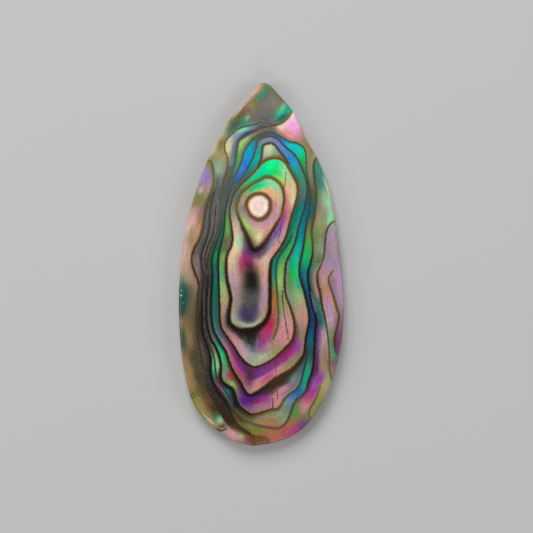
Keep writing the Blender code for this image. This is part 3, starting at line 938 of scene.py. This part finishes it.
def band_colours(places, rim):
    """Each place's sRGB colour from the bands' runs and strokes, without the growth lines."""
    colours = np.zeros((len(places), 3))
    left = np.ones(len(places), dtype=bool)
    # The rim run and the cap's strokes carry painted highlights along the rounded rim, besides the
    # bands' own colours.
    rim_dabs = run_dabs(rim, RIM_RUN_DEPTH, RIM_RUN, True)
    for name, polygon in areas():
        within = left.copy()
        within[left] = inside(places[left], np.array(polygon))
        left &= ~within
        dabs = [rim_dabs] if name in RIM_BANDS else []
        for line, offset, stops in BANDS[name]:
            points, closed = LINES[line][:2]
            dabs.append(run_dabs(smooth_run(points, closed), offset, stops, closed))
        here = places[within]
        shown = blended(here, *(np.vstack(part) for part in zip(*dabs)))
        for points, radius, names in STROKES.get(name, []):
            stroke(shown, here, points, radius, names)
        colours[within] = shown
    return colours


def painted(places, rim):
    """Each place's sRGB colour, its growth line's colour and nearness, and its layer."""
    colours = band_colours(places, rim)
    inks = np.zeros((len(places), 3))
    nearness = np.full(len(places), LINE_FAR)
    layer = np.full(len(places), FAR)
    for points, closed, cores, ink, left_seam, right_seam in LINES.values():
        distance, side, share = near_line(places, smooth_run(points, closed), LAYER_REACH)
        half = width_at(cores, share, closed) / 2
        for way, (names, widths) in ((1, left_seam), (-1, right_seam)):
            width = width_at(widths, share, closed) * SEAM_SPREAD
            fade = np.clip(1.0 - (distance - half * SEAM_START) / width, 0.0, 1.0)
            fade = fade * fade * (3 - 2 * fade) * SEAM_STRENGTH * (side == way)
            colours += (ramp(closing(names, closed), share) - colours) * fade[:, None]
        ratio = distance / half
        if not closed:
            ratio *= 1.0 + np.clip(1.0 - np.minimum(share, 1.0 - share) / END_FADE, 0.0, 1.0)
        closer = ratio < nearness
        nearness[closer] = ratio[closer]
        inks[closer] = ramp(closing(ink, closed), share[closer])
        layer = np.where(distance < np.abs(layer), distance * side, layer)
    # The fine marks, the painted highlights along the rim among them, go into the line colours.
    for points, width, ink in MARKS:
        distance, _, share = near_line(places, smooth_run(points), LAYER_REACH)
        ratio = distance / (width / 2) * MARK_FADE
        closer = ratio < nearness
        nearness[closer] = ratio[closer]
        inks[closer] = ramp(ink, share[closer])
    return colours, inks, nearness, np.clip(layer, -LAYER_REACH, LAYER_REACH)


def outline():
    """The pear's outline in metres, clockwise from the tip, sized to the solid's box."""
    path = np.vstack([
        smooth_run(RIGHT_FLANK, steps=OUTLINE_STEPS)[:-1],
        smooth_run(LEFT_FLANK, steps=OUTLINE_STEPS),
    ])
    low, high = path.min(axis=0), path.max(axis=0)
    size = np.array(CAD_HIGH - CAD_LOW)[:2]
    return (path - (low + high) / 2) * size / (high - low)


def from_top(places):
    """How far each place is from the crown's top, and the way to it from there."""
    gap = places - np.array(CROWN_TOP) * MM
    distance = np.hypot(*gap.T)
    return distance, gap / np.maximum(distance, TINY)[:, None]


def moved_in(path, distance):
    """A path with each place moved this far towards the crown's top."""
    return path - from_top(path)[1] * distance


def reach_to(path, places):
    """How far the path is from the crown's top in the direction of each place."""
    far, way = from_top(path)
    angles = np.arctan2(way[:, 1], way[:, 0])
    order = np.argsort(angles)
    way = from_top(places)[1]
    return np.interp(np.arctan2(way[:, 1], way[:, 0]), angles[order], far[order], period=2 * np.pi)


def in_pixels(places):
    """Places in metres as the photograph's pixels."""
    return places / PIXEL * (1, -1) + MIDDLE_PX


def coordinates(mesh):
    """A mesh's vertices as rows of x, y and z."""
    flat = np.empty(len(mesh.vertices) * 3)
    mesh.vertices.foreach_get("co", flat)
    return flat.reshape(-1, 3)


def face_middles(mesh):
    """The middles of a mesh's faces as rows of x, y and z."""
    flat = np.empty(len(mesh.polygons) * 3)
    mesh.polygons.foreach_get("center", flat)
    return flat.reshape(-1, 3)


def place_vertices(mesh, rows):
    """Puts a mesh's vertices at these rows of x, y and z."""
    mesh.vertices.foreach_set("co", np.ascontiguousarray(rows).ravel())
    mesh.update()


def deselect_all():
    """Leaves edit mode with nothing selected."""
    if bpy.context.mode != "OBJECT":
        bpy.ops.object.mode_set(mode="OBJECT")
    bpy.ops.object.select_all(action="DESELECT")


def choose(*objects):
    """Selects these objects alone, with the last one active."""
    deselect_all()
    for obj in objects:
        obj.select_set(True)
    bpy.context.view_layer.objects.active = objects[-1]


def edit(obj, kind):
    """Opens one object in edit mode, to select vertices, edges or faces."""
    choose(obj)
    bpy.ops.object.mode_set(mode="EDIT")
    bpy.ops.mesh.select_mode(type=kind)


def select_border():
    """In edit mode, selects the edges that have one face."""
    bpy.ops.mesh.select_all(action="DESELECT")
    bpy.ops.mesh.select_non_manifold(
        use_wire=False, use_boundary=True, use_multi_face=False, use_non_contiguous=False,
        use_verts=False)


def trimmed_grid(name, cell, path):
    """A flat grid cut to a path, with its border drawn onto the path."""
    low, high = path.min(axis=0), path.max(axis=0)
    middle, size = (low + high) / 2, high - low
    deselect_all()
    bpy.ops.mesh.primitive_grid_add(
        x_subdivisions=round(size[0] / cell), y_subdivisions=round(size[1] / cell), size=1.0,
        location=(*middle, 0.0))
    obj = bpy.context.object
    obj.name = name
    obj.scale = (*size, 1.0)
    bpy.ops.object.transform_apply(location=True, rotation=True, scale=True)
    mesh = obj.data
    kept = moved_in(path, cell * TRIM_MARGIN)
    outside = ~inside(face_middles(mesh)[:, :2], kept)
    edit(obj, "FACE")
    bpy.ops.mesh.select_all(action="DESELECT")
    bpy.ops.object.mode_set(mode="OBJECT")
    mesh.polygons.foreach_set("select", outside)
    bpy.ops.object.mode_set(mode="EDIT")
    bpy.ops.mesh.delete(type="FACE")
    bpy.ops.mesh.select_mode(type="EDGE")
    select_border()
    bpy.ops.object.mode_set(mode="OBJECT")
    rows = coordinates(mesh)
    border = np.empty(len(mesh.vertices), dtype=bool)
    mesh.vertices.foreach_get("select", border)
    rows[border, :2] = nearest_on(path, rows[border, :2])
    place_vertices(mesh, rows)
    return obj


def nearest_on(path, places):
    """The nearest place on a closed path to each place."""
    closed = np.vstack([path, path[:1]])
    start, run = closed[:-1], np.diff(closed, axis=0)
    size = np.maximum((run**2).sum(axis=1), TINY**2)
    part = np.clip(((places[:, None] - start) * run).sum(axis=2) / size, 0.0, 1.0)
    feet = start + part[..., None] * run
    best = ((places[:, None] - feet) ** 2).sum(axis=2).argmin(axis=1)
    return feet[np.arange(len(places)), best]


def crown_height(sizes, share):
    """The front's height at this share of the way from its middle to its rim."""
    return CAD_HIGH.z - sizes.crown_rise * share**2


def side_rings(sizes):
    """The rings down the side: how far each is in from the outline, and its height."""
    rim = crown_height(sizes, 1.0)
    rings = []
    for step in range(EDGE_STEPS - 1, -1, -1):
        angle = math.pi / 2 * step / EDGE_STEPS
        rings.append((sizes.edge_run * (1 - math.cos(angle)),
                      rim - sizes.edge_fall * (1 - math.sin(angle))))
    top = rim - sizes.edge_fall
    for step in range(1, WALL_STEPS + 1):
        rings.append((0.0, top + (sizes.back_chamfer - top) * step / WALL_STEPS))
    rings.append((sizes.back_chamfer, 0.0))
    return rings


def extrude_side(obj, sizes):
    """Extrudes the front's border over its rounded edge and down to the back."""
    edit(obj, "EDGE")
    select_border()
    run_in = sizes.edge_run
    for ring_in, height in side_rings(sizes):
        bpy.ops.mesh.extrude_region_move()
        bpy.ops.object.mode_set(mode="OBJECT")
        rows = coordinates(obj.data)
        moved = np.empty(len(rows), dtype=bool)
        obj.data.vertices.foreach_get("select", moved)
        way = from_top(rows[moved, :2])[1]
        rows[moved, :2] += way * (run_in - ring_in)
        rows[moved, 2] = height
        place_vertices(obj.data, rows)
        run_in = ring_in
        bpy.ops.object.mode_set(mode="EDIT")
    bpy.ops.object.mode_set(mode="OBJECT")


def close_back(obj, sizes):
    """Joins a flat back to the lowest ring."""
    path = moved_in(outline(), sizes.back_chamfer + sizes.back_cell)
    back = trimmed_grid("back", sizes.back_cell, path)
    choose(back, obj)
    bpy.ops.object.join()
    edit(obj, "EDGE")
    select_border()
    bpy.ops.mesh.bridge_edge_loops()
    bpy.ops.mesh.select_all(action="SELECT")
    bpy.ops.mesh.normals_make_consistent(inside=False)
    bpy.ops.mesh.select_all(action="DESELECT")
    bpy.ops.object.mode_set(mode="OBJECT")


def set_attribute(mesh, name, kind, values):
    """Stores one value or colour for each vertex."""
    attribute = mesh.attributes.new(name, kind, "POINT")
    key = "color" if kind == "FLOAT_COLOR" else "value"
    attribute.data.foreach_set(key, np.ascontiguousarray(values, dtype=np.float32).ravel())


def depth_below_layers(rows):
    """How far each place is below the height where the layers begin to show on the wall."""
    return np.maximum(CAD_HIGH.z - LAYERS_START - rows[:, 2], 0.0)[:, None]


def paint_slice(obj):
    """Stores the shell's pattern on the vertices: on the wall and the back, what lies deeper."""
    rows = coordinates(obj.data)
    lean = from_top(rows[:, :2])[1] * depth_below_layers(rows) * LAYER_LEAN
    colours, inks, nearness, layer = painted(in_pixels(rows[:, :2] - lean), in_pixels(outline()))
    solid = np.ones((len(rows), 1))
    # The line colours carry the fine marks too, the painted highlights along the rim among them.
    for name, values in (("nacre_colour", colours), ("line_colour", inks)):
        values = np.hstack([to_linear(np.clip(values, 0.0, 1.0)), solid])
        set_attribute(obj.data, name, "FLOAT_COLOR", values)
    set_attribute(obj.data, "line_nearness", "FLOAT", nearness)
    set_attribute(obj.data, "layer", "FLOAT", layer * PIXEL / MM)


def lay_out(obj):
    """A UV map with the front and the wall as one flat piece and the back beside it."""
    mesh = obj.data
    rows = coordinates(mesh)
    vertex = np.empty(len(mesh.loops), dtype=int)
    mesh.loops.foreach_get("vertex_index", vertex)
    normals = np.empty(len(mesh.polygons) * 3)
    mesh.polygons.foreach_get("normal", normals)
    sizes = np.empty(len(mesh.polygons), dtype=int)
    mesh.polygons.foreach_get("loop_total", sizes)
    is_back = np.repeat(normals.reshape(-1, 3)[:, 2] < BACK_NORMAL, sizes)
    width, length, height = CAD_HIGH - CAD_LOW
    # The wall unrolls outwards round the front, and the back lies mirrored to the right of both.
    border = height + UV_GAP
    middle = np.array((width / 2 + border, length / 2 + border))
    unrolled = rows[:, :2] + from_top(rows[:, :2])[1] * depth_below_layers(rows) + middle
    back = rows[:, :2] * (-1, 1) + middle + (width + border, 0.0)
    places = np.where(is_back[:, None], back[vertex], unrolled[vertex]) / (length + 2 * border)
    layer = mesh.uv_layers.new(name="OFBake")
    layer.data.foreach_set("uv", places.astype(np.float32).ravel())


def make_slice(sizes):
    """The whole slice: crowned front, rounded edge, wall and flat back."""
    rim = moved_in(outline(), sizes.edge_run)
    obj = trimmed_grid("polished_shell_slice", sizes.front_cell, rim)
    rows = coordinates(obj.data)
    share = from_top(rows[:, :2])[0] / reach_to(rim, rows[:, :2])
    rows[:, 2] = crown_height(sizes, np.minimum(share, 1.0))
    place_vertices(obj.data, rows)
    extrude_side(obj, sizes)
    close_back(obj, sizes)
    choose(obj)
    bpy.ops.object.shade_smooth_by_angle(angle=SMOOTH_ANGLE)
    for layer in list(obj.data.uv_layers):
        obj.data.uv_layers.remove(layer)
    return obj


def hex_linear(code):
    """An sRGB hex colour as linear red, green, blue and alpha."""
    return (*to_linear(srgb(code)), 1.0)


def add_node(tree, kind, settings=None, inputs=None):
    """Adds a node, with its settings and with each input set to a value or linked to a socket."""
    node = tree.nodes.new(kind)
    for key, value in (settings or {}).items():
        setattr(node, key, value)
    for key, value in (inputs or {}).items():
        if isinstance(value, bpy.types.NodeSocket):
            tree.links.new(value, node.inputs[key])
        else:
            node.inputs[key].default_value = value
    return node


def new_material(name):
    """A material with an empty tree and its output."""
    material = bpy.data.materials.new(name)
    material.use_nodes = True
    material.node_tree.nodes.clear()
    return material, material.node_tree, material.node_tree.nodes.new("ShaderNodeOutputMaterial")


def nacre_nodes(tree):
    """The nacre's colour: painted bands, silky layers, a shimmer of hues and the growth lines."""
    painted_colour = add_node(tree, "ShaderNodeAttribute", {"attribute_name": "nacre_colour"})
    ink = add_node(tree, "ShaderNodeAttribute", {"attribute_name": "line_colour"})
    layer = add_node(tree, "ShaderNodeAttribute", {"attribute_name": "layer"})
    nearness = add_node(tree, "ShaderNodeAttribute", {"attribute_name": "line_nearness"})
    place = add_node(tree, "ShaderNodeTexCoord").outputs["Object"]
    # Fine layers that run beside the growth lines, a tenth to a third of a millimetre apart.
    sway = add_node(tree, "ShaderNodeTexNoise", inputs={
        "Vector": place, "Scale": 1 / SWAY, "Detail": 2.0})
    across = add_node(tree, "ShaderNodeMath", {"operation": "MULTIPLY_ADD"}, {
        0: sway.outputs["Fac"], 1: SWAY_DEPTH, 2: layer.outputs["Fac"]})
    slow = add_node(tree, "ShaderNodeVectorMath", {"operation": "SCALE"}, {
        0: place, "Scale": 1 / DRIFT})
    line_up = add_node(tree, "ShaderNodeCombineXYZ", inputs={"X": across.outputs[0]})
    stretch = add_node(tree, "ShaderNodeVectorMath", {"operation": "SCALE"}, {
        0: line_up.outputs[0], "Scale": 1 / LAYER_WIDTH})
    streak_place = add_node(tree, "ShaderNodeVectorMath", {"operation": "ADD"}, {
        0: stretch.outputs[0], 1: slow.outputs[0]})
    streaks = add_node(tree, "ShaderNodeTexNoise", inputs={
        "Vector": streak_place.outputs[0], "Scale": 1.0, "Detail": 3.0, "Roughness": 0.6})
    # Patches about a millimetre across, where the nacre's layers are thicker and turn its hue.
    patches = add_node(tree, "ShaderNodeTexNoise", inputs={
        "Vector": place, "Scale": 1 / PATCH, "Detail": 3.0, "Roughness": 0.65,
        "Distortion": 0.6})
    hue = add_node(tree, "ShaderNodeMapRange", inputs={
        "Value": patches.outputs["Fac"], "From Min": NOISE_LOW, "From Max": NOISE_HIGH,
        "To Min": SAME_HUE - HUE_TURN, "To Max": SAME_HUE + HUE_TURN})
    value = add_node(tree, "ShaderNodeMapRange", inputs={
        "Value": streaks.outputs["Fac"], "From Min": NOISE_LOW, "From Max": NOISE_HIGH,
        "To Min": 1 - LAYER_CONTRAST, "To Max": 1 + LAYER_CONTRAST})
    shimmer = add_node(tree, "ShaderNodeHueSaturation", inputs={
        "Color": painted_colour.outputs["Color"], "Hue": hue.outputs[0], "Saturation": 1.06,
        "Value": value.outputs[0]})
    # Fibres that cross the layers from the point of the pear to its foot.
    fibre_place = add_node(tree, "ShaderNodeMapping", inputs={
        "Vector": place, "Scale": (1 / FIBRE_WIDTH, 1 / FIBRE_LENGTH, 1 / FIBRE_LENGTH)})
    fibres = add_node(tree, "ShaderNodeTexNoise", inputs={
        "Vector": fibre_place.outputs[0], "Scale": 1.0, "Detail": 2.0, "Distortion": 0.4})
    silk = add_node(tree, "ShaderNodeMapRange", inputs={
        "Value": fibres.outputs["Fac"], "From Min": NOISE_LOW, "From Max": NOISE_HIGH,
        "To Min": 1 - FIBRE_CONTRAST, "To Max": 1 + FIBRE_CONTRAST})
    # A fine grain of fibres end on, which also frays the edges of the growth lines.
    grain = add_node(tree, "ShaderNodeTexNoise", inputs={
        "Vector": place, "Scale": 1 / GRAIN, "Detail": 3.0})
    speckle = add_node(tree, "ShaderNodeMapRange", inputs={
        "Value": grain.outputs["Fac"], "From Min": NOISE_LOW, "From Max": NOISE_HIGH,
        "To Min": 1 - GRAIN_CONTRAST, "To Max": 1 + GRAIN_CONTRAST})
    sheen = add_node(tree, "ShaderNodeMath", {"operation": "MULTIPLY"}, {
        0: silk.outputs[0], 1: speckle.outputs[0]})
    silky = add_node(tree, "ShaderNodeVectorMath", {"operation": "SCALE"}, {
        0: shimmer.outputs["Color"], "Scale": sheen.outputs[0]})
    dust = add_node(tree, "ShaderNodeMapRange", inputs={
        "Value": grain.outputs["Fac"], "From Min": NOISE_LOW, "From Max": NOISE_HIGH,
        "To Min": -DUST, "To Max": DUST})
    dusty = add_node(tree, "ShaderNodeVectorMath", {"operation": "ADD"}, {
        0: silky.outputs[0], 1: dust.outputs[0]})
    ragged = add_node(tree, "ShaderNodeMath", {"operation": "MULTIPLY_ADD"}, {
        0: grain.outputs["Fac"], 1: FRAY, 2: nearness.outputs["Fac"]})
    core = add_node(tree, "ShaderNodeMapRange", {"interpolation_type": "SMOOTHSTEP"}, {
        "Value": ragged.outputs[0], "From Min": LINE_FULL, "From Max": LINE_GONE,
        "To Min": LINE_STRENGTH, "To Max": 0.0})
    # The growth lines and the fine marks go over the nacre; some of the marks are painted highlights
    # along the rim.
    lined = add_node(tree, "ShaderNodeMix", {"data_type": "RGBA"}, {
        "Factor": core.outputs[0], "A": dusty.outputs[0], "B": ink.outputs["Color"]})
    return lined, place


def polished_nacre():
    """Abalone nacre, ground and polished: deep colours under a clear, glassy surface."""
    material, tree, output = new_material("polished_nacre")
    colour, place = nacre_nodes(tree)
    # Polishing leaves the softer layers a few thousandths of a millimetre low.
    ripple = add_node(tree, "ShaderNodeTexNoise", inputs={
        "Vector": place, "Scale": 1 / RIPPLE, "Detail": 2.0})
    bump = add_node(tree, "ShaderNodeBump", inputs={
        "Strength": 0.15, "Distance": 0.05 * MM, "Height": ripple.outputs["Fac"]})
    shader = add_node(tree, "ShaderNodeBsdfPrincipled", inputs={
        "Base Color": colour.outputs["Result"], "Roughness": 0.3, "IOR": NACRE_IOR,
        "Specular IOR Level": 0.25, "Coat Weight": 0.3, "Coat Roughness": 0.08, "Coat IOR": 1.5,
        "Normal": bump.outputs["Normal"]})
    tree.links.new(shader.outputs["BSDF"], output.inputs["Surface"])
    return material


def ground_nacre(dust_colour):
    """Abalone nacre as the grinding wheel leaves it: the same layers, duller and scratched."""
    material, tree, output = new_material("ground_nacre")
    colour, place = nacre_nodes(tree)
    # The wheel's scratches are a few hundredths of a millimetre wide, drawn wider to show.
    stretched = add_node(tree, "ShaderNodeMapping", inputs={
        "Vector": place, "Scale": (1 / SCRATCH_WIDTH, 1 / SCRATCH_LENGTH, 1 / SCRATCH_WIDTH),
        "Rotation": (0.0, 0.0, SCRATCH_ANGLE)})
    scratches = add_node(tree, "ShaderNodeTexNoise", inputs={
        "Vector": stretched.outputs[0], "Scale": 1.0, "Detail": 3.0})
    dust = add_node(tree, "ShaderNodeMix", {"data_type": "RGBA"}, {
        "Factor": DUST_SHARE, "A": colour.outputs["Result"], "B": hex_linear(dust_colour)})
    roughness = add_node(tree, "ShaderNodeMapRange", inputs={
        "Value": scratches.outputs["Fac"], "To Min": 0.4, "To Max": 0.7})
    bump = add_node(tree, "ShaderNodeBump", inputs={
        "Strength": 0.3, "Distance": 0.02 * MM, "Height": scratches.outputs["Fac"]})
    shader = add_node(tree, "ShaderNodeBsdfPrincipled", inputs={
        "Base Color": dust.outputs["Result"], "Roughness": roughness.outputs[0], "IOR": NACRE_IOR,
        "Normal": bump.outputs["Normal"]})
    tree.links.new(shader.outputs["BSDF"], output.inputs["Surface"])
    return material


def floor_paper(paper_colour):
    """Matt paper: a pale sheet with a faint tooth."""
    material, tree, output = new_material("matt_paper")
    place = add_node(tree, "ShaderNodeTexCoord").outputs["Object"]
    tooth = add_node(tree, "ShaderNodeTexNoise", inputs={
        "Vector": place, "Scale": 1 / TOOTH, "Detail": 2.0})
    bump = add_node(tree, "ShaderNodeBump", inputs={
        "Strength": 0.05, "Distance": 0.02 * MM, "Height": tooth.outputs["Fac"]})
    shader = add_node(tree, "ShaderNodeBsdfPrincipled", inputs={
        "Base Color": hex_linear(paper_colour), "Roughness": 0.9,
        "Specular IOR Level": 0.1, "Normal": bump.outputs["Normal"]})
    tree.links.new(shader.outputs["BSDF"], output.inputs["Surface"])
    return material


class ShellSizes(bpy.types.PropertyGroup):
    """The slice's sizes in metres and its plain colours."""
    crown_rise: bpy.props.FloatProperty(
        name="Crown rise", description="How far the front rises from its rim to its top",
        default=0.45 * MM, unit="LENGTH", precision=5)
    edge_run: bpy.props.FloatProperty(
        name="Edge run", description="How far the rounded edge runs in from the outline",
        default=0.45 * MM, unit="LENGTH", precision=5)
    edge_fall: bpy.props.FloatProperty(
        name="Edge fall", description="How far the rounded edge falls",
        default=0.55 * MM, unit="LENGTH", precision=5)
    back_chamfer: bpy.props.FloatProperty(
        name="Back chamfer", description="Width of the small chamfer round the back",
        default=0.2 * MM, unit="LENGTH", precision=5)
    front_cell: bpy.props.FloatProperty(
        name="Front cell", description="Size of a face on the front, which carries the pattern",
        default=0.113 * MM, unit="LENGTH", precision=6)
    back_cell: bpy.props.FloatProperty(
        name="Back cell", description="Size of a face on the back",
        default=0.3 * MM, unit="LENGTH", precision=6)
    dust: bpy.props.StringProperty(
        name="Ground dust", description="Colour of the dust in the ground wall and back",
        default="#a8a498")


class StudioSettings(bpy.types.PropertyGroup):
    """The floor, the lights and the camera."""
    floor: bpy.props.StringProperty(
        name="Floor", description="Colour of the paper under the slice", default="#c6c6c6")
    key_power: bpy.props.FloatProperty(
        name="Key light", description="Power of the large light beyond the slice's tip",
        default=2.6, min=0.0, unit="POWER")
    fill_power: bpy.props.FloatProperty(
        name="Fill lights", description="Power of each light at the sides", default=0.77, min=0.0,
        unit="POWER")
    sky: bpy.props.FloatProperty(
        name="Room light", description="Strength of the even light from the room",
        default=0.15, min=0.0)
    lens: bpy.props.FloatProperty(
        name="Lens", description="Focal length of the camera in millimetres", default=100.0)
    frame_width: bpy.props.FloatProperty(
        name="Frame width", description="How much of the slice's plane the picture spans",
        default=PICTURE_PX * PIXEL, unit="LENGTH", precision=5)


class SHELL_OT_make_slice(bpy.types.Operator):
    """Models the polished slice, paints its growth lines and bands, and gives it its nacre"""
    bl_idname = "shell.make_slice"
    bl_label = "Make the slice"
    bl_options = {"REGISTER", "UNDO"}

    def execute(self, context):
        sizes = context.scene.shell_sizes
        obj = make_slice(sizes)
        paint_slice(obj)
        lay_out(obj)
        obj.data.materials.append(polished_nacre())
        obj.data.materials.append(ground_nacre(sizes.dust))
        obj.data.polygons.foreach_set("material_index", ground_faces(obj.data, sizes))
        obj.data.update()
        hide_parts("shell_slice")
        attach(obj, "root")
        return {"FINISHED"}


def ground_faces(mesh, sizes):
    """One for each face of the wall and the back, none for the polished faces."""
    wall_top = crown_height(sizes, 1.0) - sizes.edge_fall
    return (face_middles(mesh)[:, 2] < wall_top).astype(np.int32)


class SHELL_OT_make_studio(bpy.types.Operator):
    """Lays a sheet of paper under the slice and sets up the lights and the camera"""
    bl_idname = "shell.make_studio"
    bl_label = "Make the studio"
    bl_options = {"REGISTER", "UNDO"}

    def execute(self, context):
        studio = context.scene.studio
        deselect_all()
        bpy.ops.mesh.primitive_plane_add(size=FLOOR_SIZE, location=(0.0, 0.0, CAD_LOW.z))
        floor = context.object
        floor.name = "floor"
        bpy.ops.object.transform_apply(location=True, rotation=True, scale=True)
        floor.data.materials.append(floor_paper(studio.floor))
        for name, place, size in LIGHTS:
            bpy.ops.object.light_add(type="AREA", location=place)
            light = context.object
            light.name = name
            light.data.shape = "SQUARE"
            light.data.size = size
            light.data.energy = studio.key_power if name == "key" else studio.fill_power
            light.rotation_euler = (-Vector(place)).to_track_quat("-Z", "Y").to_euler()
        world = bpy.data.worlds.new("room")
        world.use_nodes = True
        background = world.node_tree.nodes["Background"]
        background.inputs["Color"].default_value = (1.0, 1.0, 1.0, 1.0)
        background.inputs["Strength"].default_value = studio.sky
        context.scene.world = world
        distance = studio.frame_width * studio.lens / SENSOR
        across = (PICTURE_PX / 2 - MIDDLE_PX[0]) * PIXEL
        up = (MIDDLE_PX[1] - PICTURE_PX / 2) * PIXEL
        bpy.ops.object.camera_add(location=(across, up, CAD_HIGH.z + distance), rotation=(0, 0, 0))
        camera = context.object
        camera.data.lens = studio.lens
        camera.data.sensor_width = SENSOR
        camera.data.clip_start = CLIP_START
        context.scene.camera = camera
        context.scene.view_settings.view_transform = "Standard"
        return {"FINISHED"}


class SHELL_PT_panel(bpy.types.Panel):
    """The slice's and the studio's settings and the buttons that make them"""
    bl_idname = "SHELL_PT_panel"
    bl_label = "Shell slice"
    bl_space_type = "VIEW_3D"
    bl_region_type = "UI"
    bl_category = "Shell slice"

    def draw(self, context):
        for group in (context.scene.shell_sizes, context.scene.studio):
            box = self.layout.box()
            for name in group.__annotations__:
                box.prop(group, name)
        self.layout.operator(SHELL_OT_make_slice.bl_idname)
        self.layout.operator(SHELL_OT_make_studio.bl_idname)


CLASSES = (ShellSizes, StudioSettings, SHELL_OT_make_slice, SHELL_OT_make_studio, SHELL_PT_panel)


def register():
    for cls in CLASSES:
        bpy.utils.register_class(cls)
    bpy.types.Scene.shell_sizes = bpy.props.PointerProperty(type=ShellSizes)
    bpy.types.Scene.studio = bpy.props.PointerProperty(type=StudioSettings)


def unregister():
    del bpy.types.Scene.studio
    del bpy.types.Scene.shell_sizes
    for cls in reversed(CLASSES):
        bpy.utils.unregister_class(cls)


def main():
    register()
    bpy.ops.shell.make_slice()
    bpy.ops.shell.make_studio()


if __name__ == "__main__":
    main()
